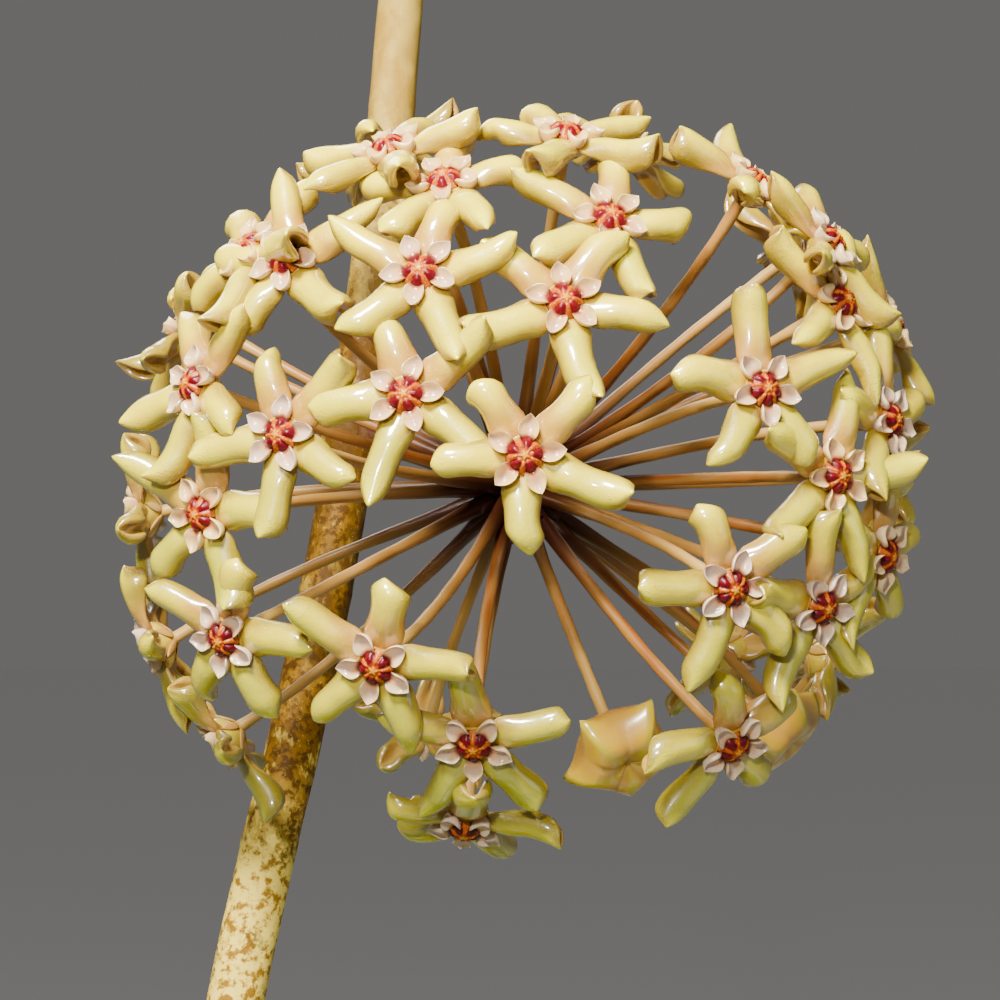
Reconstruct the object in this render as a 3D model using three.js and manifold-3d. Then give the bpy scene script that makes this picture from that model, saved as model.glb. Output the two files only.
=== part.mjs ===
// A potted wax plant, Hoya quinquenervia: a plain clay pot of bark mix, three climbing stems with
// thick five-nerved leaves, and one ball-shaped umbel of waxy star flowers held out on its peduncle.
// Millimetres, +Z up. The origin is the middle of the pot's underside. The umbel faces -Y.
import * as THREE from "three";
import { mergeVertices } from "three/addons/utils/BufferGeometryUtils.js";
import Module from "manifold-3d";

const wasm = await Module();
wasm.setup();

// Driving dimensions
const FULL_TURN = 2 * Math.PI;
const GAP = 0.35; // clearance between pieces that touch
const WELD = 0.03; // slivers below this size are merged away where bodies join

// Pot
const POT_HEIGHT = 120;
const POT_BASE_RADIUS = 44;
const POT_TOP_RADIUS = 61;
const POT_RIM_RADIUS = 67;
const POT_RIM_HEIGHT = 24;
const POT_WALL = 5.5;
const POT_FLOOR = 7;
const POT_SIDES = 32;
const DRAIN_RADIUS = 4.5;
const DRAIN_CIRCLE = 23;
const DRAIN_COUNT = 3;
const HOLE_SIDES = 12;
const RIM_CHAMFER = 2.5;

// Bark mix
const SOIL_TOP = 106;
const SOIL_HUMP = 3;
const SOIL_SIDES = 22;
const SOIL_RINGS = [1, 0.78, 0.55, 0.3]; // as shares of the pot's inner radius

// Umbel
const UMBEL_CENTRE = new THREE.Vector3(30, -24, 292);
const RACHIS_RADIUS = 3.1;
const PEDICEL_RADIUS = 0.5;
const PEDICEL_SIDES = 5;
const PEDICEL_BOW = 0.9;
const PEDICEL_CURL = 9; // length over which a pedicel bends round to its flower
const FLORET_REACH = 33.5; // umbel centre to the base of a flower
const PEDUNCLE_RADIUS = 1.5;
const PEDUNCLE_PLACE = 248; // distance along the main stem at which the peduncle leaves it
const PETAL_COUNT = 5;
const SECTOR = FULL_TURN / PETAL_COUNT;
const CORONA_HEIGHT = 1.5;
const PEDUNCLE_BEND = new THREE.Vector3(1.5, 10, 2); // from the umbel's centre to the peduncle's bend
const PEDUNCLE_SIDES = 7;
const PEDICEL_SHARES = [0.05, 0.55]; // places of a pedicel's rings along it

// Flower: a petal's rings as distance from the axis, width, height of its top and of its underside, and
// by how much those move with the petal's own rise. Its beak, and where it and its neighbours meet.
const BELLY = { radius: 4.0, width: 2.75, top: 1.1, bottom: -1.2, topMove: 0.6, bottomMove: 0.4 };
const SHOULDER = { radius: 6.0, width: 2.7, top: 1.55, bottom: -0.5, topMove: 1, bottomMove: 1 };
const BEAK = { radius: 7.4, height: 0.9, move: 1.3 };
const PETAL_RISE = 0.9;
const PETAL_SWING = 0.16;
const PETAL_FLANK = 0.42; // share of a petal's height from its top down to its widest place
const PETAL_UNDERCUT = 0.62; // width of the underside as a share of the widest
const SINUS = { radius: 2.25, height: 0.15 };
const UNDERSIDE = { radius: 1.9, swing: 0.42, height: -0.55 };
const COLLAR_RADIUS = 0.62;
const FLOWER_NECK = -1.0;

// Crown: distance from the axis and height of its apex, valleys, lobe shoulders, lobe tips and roots.
const CROWN_APEX = 1.75;
const CROWN_VALLEY = { radius: 0.8, height: 1.0 };
const LOBE_SHOULDER = { radius: 1.62, swing: 0.36, height: 1.35 };
const LOBE_TIP = { radius: 2.85, height: 1.7 };
const CROWN_ROOT = { radius: 1.5, height: 0.75 };

// Bud: radius at the keels and in the hollows, and height, of each ring. Its neck and its tip.
const BUD_NECK = -2.6;
const BUD_RINGS = [
  [0.7, 0.6, BUD_NECK],
  [3.0, 2.1, BUD_NECK + 0.9],
  [4.45, 2.6, 0],
  [3.3, 2.1, 1.1],
];
const BUD_TIP = 1.3;
const BUD_HOLLOW_LIFT = 0.2;
const FIRST_BUD_SEED = 70;

// The reference picture: where the umbel's centre lies in it, in pixels, how many pixels a millimetre
// there takes, and how far off the viewer stands.
const PICTURE = { column: 515, row: 487, scale: 11.84, eye: 220 };

// The flowers that the picture shows: column, row, turn of a petal in degrees, reach as a share of
// FLORET_REACH, and by how many degrees the flower is turned towards the viewer.
const FLOWERS_IN_FRONT = [
  [525, 455, 116, 0.99, 0],
  [566, 297, 137, 0.96, 2],
  [612, 212, 76, 0.95, 3],
  [418, 266, 79, 0.98, 8],
  [403, 393, 110, 0.96, 3],
  [280, 254, 96, 0.98, 11],
  [443, 175, 90, 0.96, -5],
  [386, 141, 81, 0.98, -10],
  [567, 127, 110, 0.97, -10],
  [760, 176, 88, 1.0, -13],
  [837, 237, 85, 1.03, -8],
  [849, 298, 144, 1.0, 10],
  [770, 387, 94, 0.97, 8],
  [898, 419, 90, 1.0, 4],
  [845, 476, 74, 0.98, 12],
  [893, 557, 85, 0.99, 4],
  [829, 610, 93, 0.98, 7],
  [737, 591, 110, 0.97, 8],
  [738, 752, 97, 0.98, 4],
  [373, 671, 75, 0.97, 4],
  [473, 751, 90, 0.94, 4],
  [464, 835, 79, 0.94, -6],
  [217, 643, 79, 0.98, 11],
  [194, 515, 78, 0.96, 8],
  [276, 434, 42, 0.97, 3],
  [187, 383, 115, 0.98, -4],
  [243, 244, 131, 0.99, -8],
];

// The rest, which it shows edge on or not at all: bearing round the view axis and angle from it, in
// degrees, turn, reach.
const FLOWERS_BEHIND = [
  [184, 92, 62, 0.93],
  [204, 89, 98, 0.97],
  [155, 97, 80, 0.93],
  [221, 88, 100, 0.95],
  [23, 85, 66, 1.0],
  [331, 98, 104, 0.9],
  [2, 104, 80, 0.98],
  [40, 106, 50, 0.97],
  [72, 108, 100, 0.97],
  [112, 106, 75, 0.96],
  [152, 108, 60, 0.97],
  [320, 114, 95, 0.97],
  [322, 128, 100, 0.93],
  [250, 131, 20, 0.93],
];

// Closed buds: bearing, angle from the view axis, turn, reach, then the bearing and the angle that the
// bud itself points to.
const BUDS = [
  [292, 49.5, 64, 0.87, 285, 34],
  [317, 78, 20, 0.9, 315, 70],
];

// Stems: the points that each passes through, and its radius at the foot and at the tip.
const STEMS = {
  stem_main: {
    route: [
      [-13, -27, 54],
      [-13, -27, 84],
      [-13, -27, 110],
      [-8, -25, 165],
      [-0.5, -21, 212],
      [5.5, -16, 247],
      [13.6, -7, 287],
      [19.3, 0, 337.6],
      [20.5, 3.5, 382],
      [17, 3, 426],
      [10, -1, 458],
    ],
    radii: [2.9, 2.5, 1.5],
    steps: 15,
  },
  stem_right: {
    route: [
      [18, 16, 58],
      [18, 16, 86],
      [18.5, 16.3, 112],
      [29, 23, 144],
      [54, 33, 168],
      [84, 38, 178],
      [112, 32, 192],
    ],
    radii: [2.4, 2.0, 1.2],
    steps: 14,
  },
  stem_left: {
    route: [
      [-24, 14, 58],
      [-24, 14, 86],
      [-24.6, 14.3, 112],
      [-38, 21, 138],
      [-66, 24, 152],
      [-94, 16, 142],
      [-112, 2, 112],
    ],
    radii: [2.3, 1.9, 1.2],
    steps: 14,
  },
};
const STEM_SIDES = 8;
const NODE_SWELL = 1.28;
const NODE_HALF_LENGTH = 5;

// Leaves: stem, distance along it, bearing in degrees, first and last slope in degrees, length, width,
// roll of the blade in degrees.
const LEAVES = [
  ["stem_main", 102, -44, 30, -34, 104, 43, 6],
  ["stem_main", 102, 136, 38, -28, 100, 42, -6],
  ["stem_main", 153, 252, 22, -42, 92, 40, 4],
  ["stem_main", 153, 70, 22, -40, 98, 41, -4],
  ["stem_main", 331, -12, 46, -22, 94, 40, 8],
  ["stem_main", 331, 168, 48, -20, 90, 38, -8],
  ["stem_main", 376, 262, 54, -8, 66, 28, 5],
  ["stem_main", 376, 80, 56, -10, 70, 29, -5],
  ["stem_main", 404, 190, 66, 28, 38, 15, 0],
  ["stem_main", 404, 15, 68, 30, 40, 16, 0],
  ["stem_right", 96, 118, 36, -32, 92, 40, 8],
  ["stem_right", 96, -50, 26, -42, 94, 41, -6],
  ["stem_right", 140, 84, 30, -36, 86, 38, 6],
  ["stem_right", 140, -84, 24, -42, 86, 38, -6],
  ["stem_right", 182, 48, 30, -24, 56, 25, 0],
  ["stem_right", 182, -66, 22, -30, 60, 26, 0],
  ["stem_left", 92, 92, 26, -36, 92, 40, -8],
  ["stem_left", 92, 266, 28, -40, 90, 39, 6],
  ["stem_left", 132, 112, 34, -30, 84, 37, -6],
  ["stem_left", 132, 262, 26, -44, 82, 36, 6],
  ["stem_left", 178, 150, 10, -50, 54, 24, 0],
  ["stem_left", 178, 268, 4, -52, 52, 23, 0],
];
const PETIOLE_LENGTH = 13;
const PETIOLE_RADIUS = 1.7;
const LEAF_THICKNESS = 1.7;
const LEAF_FOLD = 0.2; // how far the margins rise above the midrib, as a share of half the width
const MIDRIB_STEPS = 24;
const LEAF_STATIONS = [0, 0.06, 0.16, 0.3, 0.46, 0.62, 0.77, 0.89, 0.965];

// Helpers

// A number from 0 to 1 that depends only on its seed.
function chance(seed) {
  const wave = Math.sin(seed * 127.1 + 311.7) * 43758.5453;
  return wave - Math.floor(wave);
}

const radians = THREE.MathUtils.degToRad;
const vector = ([x, y, z]) => new THREE.Vector3(x, y, z);

function geometryFrom(points, faces) {
  const geometry = new THREE.BufferGeometry();
  const numbers = points.flatMap((point) => [point.x, point.y, point.z]);
  geometry.setAttribute("position", new THREE.Float32BufferAttribute(numbers, 3));
  geometry.setIndex(faces.flat());
  return geometry;
}

function solidFrom(geometry) {
  const bare = new THREE.BufferGeometry();
  bare.setAttribute("position", geometry.getAttribute("position"));
  bare.setIndex(geometry.index);
  const merged = mergeVertices(bare, 1e-4);
  return new wasm.Manifold(
    new wasm.Mesh({
      numProp: 3,
      vertProperties: new Float32Array(merged.attributes.position.array),
      triVerts: new Uint32Array(merged.index.array),
    }),
  );
}

function geometryOf(solid) {
  const mesh = solid.getMesh();
  const geometry = new THREE.BufferGeometry();
  geometry.setAttribute("position", new THREE.BufferAttribute(new Float32Array(mesh.vertProperties), 3));
  geometry.setIndex(new THREE.BufferAttribute(new Uint32Array(mesh.triVerts), 1));
  return geometry;
}

// Faces between two closed rings of the same size that start at the given indices.
function band(from, to, count) {
  const faces = [];
  for (let i = 0; i < count; i++) {
    const next = (i + 1) % count;
    faces.push([from + i, from + next, to + next], [from + i, to + next, to + i]);
  }
  return faces;
}

// A closed body through rings of points that run counter-clockwise as seen from the last ring.
// A ring of one point closes an end to a tip, and a larger end ring is closed flat.
function loft(rings) {
  const points = rings.flat();
  const faces = [];
  let start = 0;
  for (let k = 0; k + 1 < rings.length; k++) {
    const [a, b] = [rings[k].length, rings[k + 1].length];
    const next = start + a;
    if (a === b) {
      faces.push(...band(start, next, a));
    } else if (b === 1) {
      for (let i = 0; i < a; i++) faces.push([start + i, start + ((i + 1) % a), next]);
    } else {
      for (let i = 0; i < b; i++) faces.push([start, next + ((i + 1) % b), next + i]);
    }
    start = next;
  }
  const [first, last] = [rings[0].length, rings.at(-1).length];
  for (let i = 1; i + 1 < first; i++) faces.push([0, i + 1, i]);
  for (let i = 1; i + 1 < last; i++) faces.push([start, start + i, start + i + 1]);
  return geometryFrom(points, faces);
}

// A round ring about a centre, square to the given direction.
function roundRing(centre, across, up, radius, sides) {
  return Array.from({ length: sides }, (_, i) => {
    const angle = (i / sides) * FULL_TURN;
    return centre
      .clone()
      .addScaledVector(across, radius * Math.cos(angle))
      .addScaledVector(up, radius * Math.sin(angle));
  });
}

// Two unit vectors square to a direction, which with it make a right-handed set.
function squareTo(direction) {
  const guide = Math.abs(direction.z) > 0.9 ? new THREE.Vector3(1, 0, 0) : new THREE.Vector3(0, 0, 1);
  const across = guide.cross(direction).normalize();
  return [across, direction.clone().cross(across)];
}

// A round tube whose radius changes along a curve, with a ring at each of the given shares of it.
function tube(curve, radiusAt, sides, shares) {
  let across = null;
  const rings = shares.map((share) => {
    const along = curve.getTangentAt(share);
    const carried = across ? across.clone().addScaledVector(along, -across.dot(along)) : squareTo(along)[0];
    across = carried.normalize();
    return roundRing(curve.getPointAt(share), across, along.clone().cross(across), radiusAt(share), sides);
  });
  return loft(rings);
}

function joined(solids) {
  const parts = wasm.Manifold.union(solids).decompose();
  const outsides = parts.filter((part) => part.volume() > 0);
  const whole = outsides.reduce((largest, part) => (part.volume() > largest.volume() ? part : largest));
  return whole.simplify(WELD);
}

// Pot and bark mix

function potGeometry() {
  const rimFoot = POT_HEIGHT - POT_RIM_HEIGHT;
  const bodyRadius = (height) => POT_BASE_RADIUS + ((POT_TOP_RADIUS - POT_BASE_RADIUS) * height) / POT_HEIGHT;
  const profile = [
    [0, 0],
    [POT_BASE_RADIUS - 2, 0],
    [POT_BASE_RADIUS, 2],
    [bodyRadius(rimFoot), rimFoot],
    [POT_RIM_RADIUS - RIM_CHAMFER, rimFoot + 1],
    [POT_RIM_RADIUS, POT_HEIGHT - RIM_CHAMFER],
    [POT_RIM_RADIUS - RIM_CHAMFER, POT_HEIGHT],
    [bodyRadius(POT_HEIGHT) - POT_WALL + 2, POT_HEIGHT],
    [bodyRadius(POT_HEIGHT) - POT_WALL, POT_HEIGHT - 3],
    [bodyRadius(POT_FLOOR) - POT_WALL, POT_FLOOR],
    [0, POT_FLOOR],
  ];
  const lathe = new THREE.LatheGeometry(profile.map(([r, z]) => new THREE.Vector2(r, z)), POT_SIDES);
  lathe.rotateX(Math.PI / 2);
  let pot = solidFrom(lathe);
  for (let k = 0; k < DRAIN_COUNT; k++) {
    const angle = (k / DRAIN_COUNT) * FULL_TURN + 0.5;
    const hole = new THREE.CylinderGeometry(DRAIN_RADIUS, DRAIN_RADIUS, 3 * POT_FLOOR, HOLE_SIDES);
    hole.rotateX(Math.PI / 2);
    hole.translate(DRAIN_CIRCLE * Math.cos(angle), DRAIN_CIRCLE * Math.sin(angle), POT_FLOOR / 2);
    pot = pot.subtract(solidFrom(hole));
  }
  return geometryOf(pot);
}

// Uneven top of the bark mix: a low hump with a few waves.
function soilHeight(x, y) {
  const out = Math.hypot(x, y) / POT_TOP_RADIUS;
  return SOIL_TOP + SOIL_HUMP * (1 - out * out) + 0.9 * Math.sin(x * 0.19 + 1) * Math.cos(y * 0.23);
}

function soilGeometry() {
  const insideRadius = (height) =>
    POT_BASE_RADIUS + ((POT_TOP_RADIUS - POT_BASE_RADIUS) * height) / POT_HEIGHT - POT_WALL - 3 * GAP;
  const rings = [[new THREE.Vector3(0, 0, POT_FLOOR + GAP)]];
  const ringAt = (radius, heightAt) =>
    Array.from({ length: SOIL_SIDES }, (_, i) => {
      const angle = (i / SOIL_SIDES) * FULL_TURN;
      const [x, y] = [radius * Math.cos(angle), radius * Math.sin(angle)];
      return new THREE.Vector3(x, y, heightAt(x, y));
    });
  rings.push(ringAt(insideRadius(POT_FLOOR), () => POT_FLOOR + GAP));
  for (const share of SOIL_RINGS) {
    rings.push(ringAt(insideRadius(SOIL_TOP) * share, soilHeight));
  }
  rings.push([new THREE.Vector3(0, 0, soilHeight(0, 0))]);
  let soil = solidFrom(loft(rings));
  for (const { route, radii } of Object.values(STEMS)) {
    const foot = vector(route[0]);
    const socketDepth = 2 * (SOIL_TOP - foot.z);
    const socketRadius = radii[0] + 2 * GAP;
    const socket = new THREE.CylinderGeometry(socketRadius, socketRadius, socketDepth, HOLE_SIDES);
    socket.rotateX(Math.PI / 2);
    socket.translate(foot.x, foot.y, foot.z - GAP + socketDepth / 2);
    soil = soil.subtract(solidFrom(socket));
  }
  return geometryOf(soil);
}

// Stems

const stemCurves = Object.fromEntries(
  Object.entries(STEMS).map(([name, { route }]) => [name, new THREE.CatmullRomCurve3(route.map(vector))]),
);

// Distances along a stem at which it carries leaves or the peduncle.
function jointsOf(name) {
  const joints = new Set(LEAVES.filter(([stem]) => stem === name).map(([, distance]) => distance));
  if (name === "stem_main") joints.add(PEDUNCLE_PLACE);
  return [...joints];
}

// The stem thins from foot to tip and swells a little at each joint.
function stemRadius(name, distance) {
  const [foot, middle, tip] = STEMS[name].radii;
  const share = distance / stemCurves[name].getLength();
  const lower = foot + (middle - foot) * share * 2;
  const upper = middle + (tip - middle) * (share - 0.5) * 2;
  const plain = share < 0.5 ? lower : upper;
  const nearest = Math.min(...jointsOf(name).map((joint) => Math.abs(joint - distance)));
  return plain * (1 + (NODE_SWELL - 1) * Math.max(0, 1 - (nearest / NODE_HALF_LENGTH) ** 2));
}

function stemGeometry(name) {
  const { steps } = STEMS[name];
  const length = stemCurves[name].getLength();
  const beside = [-NODE_HALF_LENGTH, 0, NODE_HALF_LENGTH];
  const swells = jointsOf(name).flatMap((joint) => beside.map((shift) => joint + shift));
  const clear = (distance) => swells.every((swell) => Math.abs(swell - distance) > NODE_HALF_LENGTH);
  const between = Array.from({ length: steps + 1 }, (_, k) => (k / steps) * length).filter(
    (distance) => distance === 0 || distance === length || clear(distance),
  );
  const distances = [...between, ...swells.filter((swell) => swell < length - 1)].sort((a, b) => a - b);
  const radiusAt = (share) => stemRadius(name, share * length);
  return tube(stemCurves[name], radiusAt, STEM_SIDES, distances.map((distance) => distance / length));
}

// Leaves

// Half the blade's width, as a share of the widest, at a share of the way along it: a long ellipse
// that narrows to a drawn-out tip.
function bladeOutline(share) {
  const ellipse = Math.sqrt(Math.max(0, 1 - (2 * share ** 0.88 - 1) ** 2));
  return ellipse * (1 - 0.35 * share ** 5);
}

function leafGeometry([stem, distanceAlong, bearing, firstSlope, lastSlope, length, width, roll]) {
  const curve = stemCurves[stem];
  const share = distanceAlong / curve.getLength();
  const heading = new THREE.Vector3(Math.cos(radians(bearing)), Math.sin(radians(bearing)), 0);
  const along = curve.getTangentAt(share);
  const outward = heading.clone().addScaledVector(along, -heading.dot(along)).normalize();
  const foot = curve.getPointAt(share).addScaledVector(outward, stemRadius(stem, distanceAlong) + GAP);
  const sideways = new THREE.Vector3(0, 0, 1).cross(heading);
  const total = PETIOLE_LENGTH + length;

  // The midrib bends in one upright plane, from the first slope to the last.
  const slopeAt = (distance) => radians(firstSlope + (lastSlope - firstSlope) * (distance / total) ** 1.3);
  const midribAt = (distance) => {
    const point = foot.clone();
    for (let i = 0; i < MIDRIB_STEPS; i++) {
      const slope = slopeAt(((i + 0.5) / MIDRIB_STEPS) * distance);
      const step = distance / MIDRIB_STEPS;
      point.addScaledVector(heading, Math.cos(slope) * step);
      point.z += Math.sin(slope) * step;
    }
    return point;
  };
  const ringAt = (distance, halfWidth, halfThickness, fold) => {
    const slope = slopeAt(distance);
    const facing = heading.clone().multiplyScalar(-Math.sin(slope));
    facing.z += Math.cos(slope);
    const tilt = radians(roll) * Math.min(1, distance / PETIOLE_LENGTH);
    const across = sideways.clone().multiplyScalar(Math.cos(tilt)).addScaledVector(facing, Math.sin(tilt));
    const up = facing.clone().multiplyScalar(Math.cos(tilt)).addScaledVector(sideways, -Math.sin(tilt));
    if (distance === 0) {
      // The foot lies flat on the stem's side.
      across.addScaledVector(outward, -across.dot(outward)).normalize();
      up.crossVectors(outward, across);
    }
    const point = (v, side) => {
      const thick = side * halfThickness * Math.sqrt(1 - v * v);
      return midribAt(distance)
        .addScaledVector(across, v * halfWidth)
        .addScaledVector(up, thick + fold * halfWidth * v * v);
    };
    return [
      [1, 0],
      [0.6, 1],
      [0, 1],
      [-0.6, 1],
      [-1, 0],
      [-0.6, -1],
      [0, -1],
      [0.6, -1],
    ].map(([v, side]) => point(v, side));
  };
  const rings = [0, 0.55].map((part) => ringAt(part * PETIOLE_LENGTH, PETIOLE_RADIUS, PETIOLE_RADIUS, 0));
  for (const station of LEAF_STATIONS) {
    const halfWidth = Math.max(PETIOLE_RADIUS, (bladeOutline(station) * width) / 2);
    const thinning = Math.min(1, station * 6);
    const halfThickness = PETIOLE_RADIUS + (LEAF_THICKNESS / 2 - PETIOLE_RADIUS) * thinning;
    rings.push(ringAt(PETIOLE_LENGTH + station * length, halfWidth, halfThickness, LEAF_FOLD * thinning));
  }
  rings.push([midribAt(total)]);
  return loft(rings);
}

// Umbel

// Direction from the umbel's centre to a flower seen at a column and row of the picture.
function directionInPicture(column, row, reach) {
  const across = (column - PICTURE.column) / PICTURE.scale;
  const up = (PICTURE.row - row) / PICTURE.scale;
  const sight = new THREE.Vector3(across, PICTURE.eye, up).normalize();
  const eye = new THREE.Vector3(0, -PICTURE.eye, 0);
  const nearest = -eye.dot(sight);
  const miss = PICTURE.eye ** 2 - nearest ** 2;
  const depth = Math.sqrt(Math.max(0, reach ** 2 - miss));
  return eye.addScaledVector(sight, nearest - depth).normalize();
}

function directionAt(bearing, tilt) {
  const out = Math.sin(radians(tilt));
  const [across, up] = [out * Math.cos(radians(bearing)), out * Math.sin(radians(bearing))];
  return new THREE.Vector3(across, -Math.cos(radians(tilt)), up);
}

// The same direction, turned towards the viewer by some degrees.
function turnedToViewer(direction, degrees) {
  const tilt = Math.acos(-direction.y) - radians(degrees);
  const sideways = new THREE.Vector3(direction.x, 0, direction.z).normalize();
  return sideways.multiplyScalar(Math.sin(tilt)).setY(-Math.cos(tilt));
}

// A frame at a flower: its base, the way it faces, and a function that places local points in the part.
function flowerFrame(direction, reach, facing, turn) {
  const level = new THREE.Quaternion().setFromUnitVectors(new THREE.Vector3(0, -1, 0), facing);
  const across = new THREE.Vector3(1, 0, 0).applyQuaternion(level);
  const up = new THREE.Vector3(0, 0, 1).applyQuaternion(level);
  const base = UMBEL_CENTRE.clone().addScaledVector(direction, reach * FLORET_REACH);
  const place = (radius, angle, height) =>
    base
      .clone()
      .addScaledVector(across, radius * Math.cos(angle + radians(turn)))
      .addScaledVector(up, radius * Math.sin(angle + radians(turn)))
      .addScaledVector(facing, height);
  return { base, facing, place };
}

// The pedicel's rings, from the rachis out towards a flower. It bows a little to one side and bends
// round to the way the flower faces.
function pedicelRings({ base, facing, place }, seed, neck) {
  const side = place(1, chance(seed) * FULL_TURN, 0).sub(base);
  const end = place(0, 0, neck);
  const bend = end.clone().addScaledVector(facing, -PEDICEL_CURL);
  const path = new THREE.QuadraticBezierCurve3(UMBEL_CENTRE, bend, end);
  return PEDICEL_SHARES.map((share) => {
    const middle = path.getPoint(share).addScaledVector(side, PEDICEL_BOW * Math.sin(Math.PI * share));
    return Array.from({ length: PEDICEL_SIDES }, (_, i) => {
      const angle = (i / PEDICEL_SIDES) * FULL_TURN;
      return place(PEDICEL_RADIUS * 0.92, angle, 0).sub(base).add(middle);
    });
  });
}

// One flower on its pedicel as one closed body. Going out from the axis, each fifth has a corona lobe
// between two petals, and a petal rolled under into a fat tube that ends in a bent beak.
function floretGeometry(frame, seed) {
  const { place } = frame;
  const points = [];
  const faces = [];
  const add = (radius, angle, height) => points.push(place(radius, angle, height)) - 1;
  const apex = add(0, 0, CROWN_APEX);
  const fifths = Array.from({ length: PETAL_COUNT }, (_, k) => {
    const petal = k * SECTOR;
    const between = petal + SECTOR / 2;
    const rise = PETAL_RISE * (chance(seed * 7 + k) - 0.5);
    const axis = petal + PETAL_SWING * (chance(seed * 11 + k) - 0.5);
    const section = (ring) => {
      const spread = Math.atan2(ring.width / 2, ring.radius);
      const out = Math.hypot(ring.radius, ring.width / 2);
      const top = ring.top + rise * ring.topMove;
      const bottom = ring.bottom + rise * ring.bottomMove;
      const middle = top - (top - bottom) * PETAL_FLANK;
      return [
        add(ring.radius, axis, top),
        add(out, axis + spread, middle),
        add(ring.radius, axis + spread * PETAL_UNDERCUT, bottom),
        add(ring.radius, axis - spread * PETAL_UNDERCUT, bottom),
        add(out, axis - spread, middle),
      ];
    };
    return {
      valley: add(CROWN_VALLEY.radius, petal, CROWN_VALLEY.height),
      shoulderAfter: add(LOBE_SHOULDER.radius, between - LOBE_SHOULDER.swing, LOBE_SHOULDER.height),
      tip: add(LOBE_TIP.radius, between, LOBE_TIP.height),
      shoulderBefore: add(LOBE_SHOULDER.radius, between + LOBE_SHOULDER.swing, LOBE_SHOULDER.height),
      root: add(CROWN_ROOT.radius, petal, CROWN_ROOT.height),
      sinus: add(SINUS.radius, between, SINUS.height),
      under: [
        add(UNDERSIDE.radius, petal + UNDERSIDE.swing, UNDERSIDE.height),
        add(UNDERSIDE.radius, petal - UNDERSIDE.swing, UNDERSIDE.height),
      ],
      belly: section(BELLY),
      shoulder: section(SHOULDER),
      beak: add(BEAK.radius, axis, BEAK.height + rise * BEAK.move),
    };
  });
  fifths.forEach((fifth, k) => {
    const next = fifths[(k + 1) % PETAL_COUNT];
    const before = fifths[(k + PETAL_COUNT - 1) % PETAL_COUNT];
    faces.push(
      [apex, fifth.valley, fifth.shoulderAfter],
      [apex, fifth.shoulderAfter, fifth.tip],
      [apex, fifth.tip, fifth.shoulderBefore],
      [apex, fifth.shoulderBefore, next.valley],
      [fifth.root, fifth.shoulderAfter, fifth.valley],
      [fifth.root, fifth.sinus, fifth.shoulderAfter],
      [fifth.sinus, fifth.tip, fifth.shoulderAfter],
      [fifth.sinus, next.root, fifth.shoulderBefore],
      [fifth.sinus, fifth.shoulderBefore, fifth.tip],
      [next.root, next.valley, fifth.shoulderBefore],
    );
    const rings = [
      [fifth.root, fifth.sinus, fifth.under[0], fifth.under[1], before.sinus],
      fifth.belly,
      fifth.shoulder,
    ];
    for (let r = 0; r + 1 < rings.length; r++) {
      const [inner, outer] = [rings[r], rings[r + 1]];
      for (let i = 0; i < inner.length; i++) {
        const j = (i + 1) % inner.length;
        faces.push([inner[i], outer[i], outer[j]], [inner[i], outer[j], inner[j]]);
      }
    }
    const last = fifth.shoulder;
    for (let i = 0; i < last.length; i++) faces.push([last[i], fifth.beak, last[(i + 1) % last.length]]);
  });

  // The underside runs in to the pedicel, which has one corner under each sinus.
  const collar = fifths.map((_, k) => add(COLLAR_RADIUS, k * SECTOR, FLOWER_NECK));
  const pedicel = pedicelRings(frame, seed, FLOWER_NECK);
  const inner = pedicel.map((ring) => ring.map((point) => points.push(point) - 1));
  fifths.forEach((fifth, k) => {
    const next = fifths[(k + 1) % PETAL_COUNT];
    const after = (k + 1) % PETAL_COUNT;
    faces.push(
      [collar[k], fifth.under[0], fifth.under[1]],
      [collar[k], fifth.sinus, fifth.under[0]],
      [collar[k], collar[after], fifth.sinus],
      [collar[after], next.under[1], fifth.sinus],
    );
    for (const [outer, deeper] of [
      [collar, inner[1]],
      [inner[1], inner[0]],
    ]) {
      faces.push([outer[k], deeper[k], deeper[after]], [outer[k], deeper[after], outer[after]]);
    }
    if (k > 0 && k + 1 < PETAL_COUNT) faces.push([inner[0][0], inner[0][k + 1], inner[0][k]]);
  });
  return geometryFrom(points, faces);
}

// A closed bud: a five-cornered cushion whose keels run out to blunt points.
function budGeometry(frame, seed) {
  const { place } = frame;
  const starRing = ([keel, hollow, height]) =>
    Array.from({ length: 2 * PETAL_COUNT }, (_, i) => {
      const angle = (i * SECTOR) / 2;
      return i % 2 ? place(hollow, angle, height + BUD_HOLLOW_LIFT) : place(keel, angle, height);
    });
  const pedicel = pedicelRings(frame, seed, BUD_NECK).map((ring) =>
    ring.flatMap((point, i) => [point, point.clone().lerp(ring[(i + 1) % ring.length], 0.5)]),
  );
  return loft([...pedicel, ...BUD_RINGS.map(starRing), [place(0, 0, BUD_TIP)]]);
}

// The peduncle leaves the main stem behind the umbel and comes round to its centre.
const peduncleJoint = stemCurves.stem_main.getPointAt(PEDUNCLE_PLACE / stemCurves.stem_main.getLength());
const peduncleAim = UMBEL_CENTRE.clone().sub(peduncleJoint).normalize();

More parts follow.
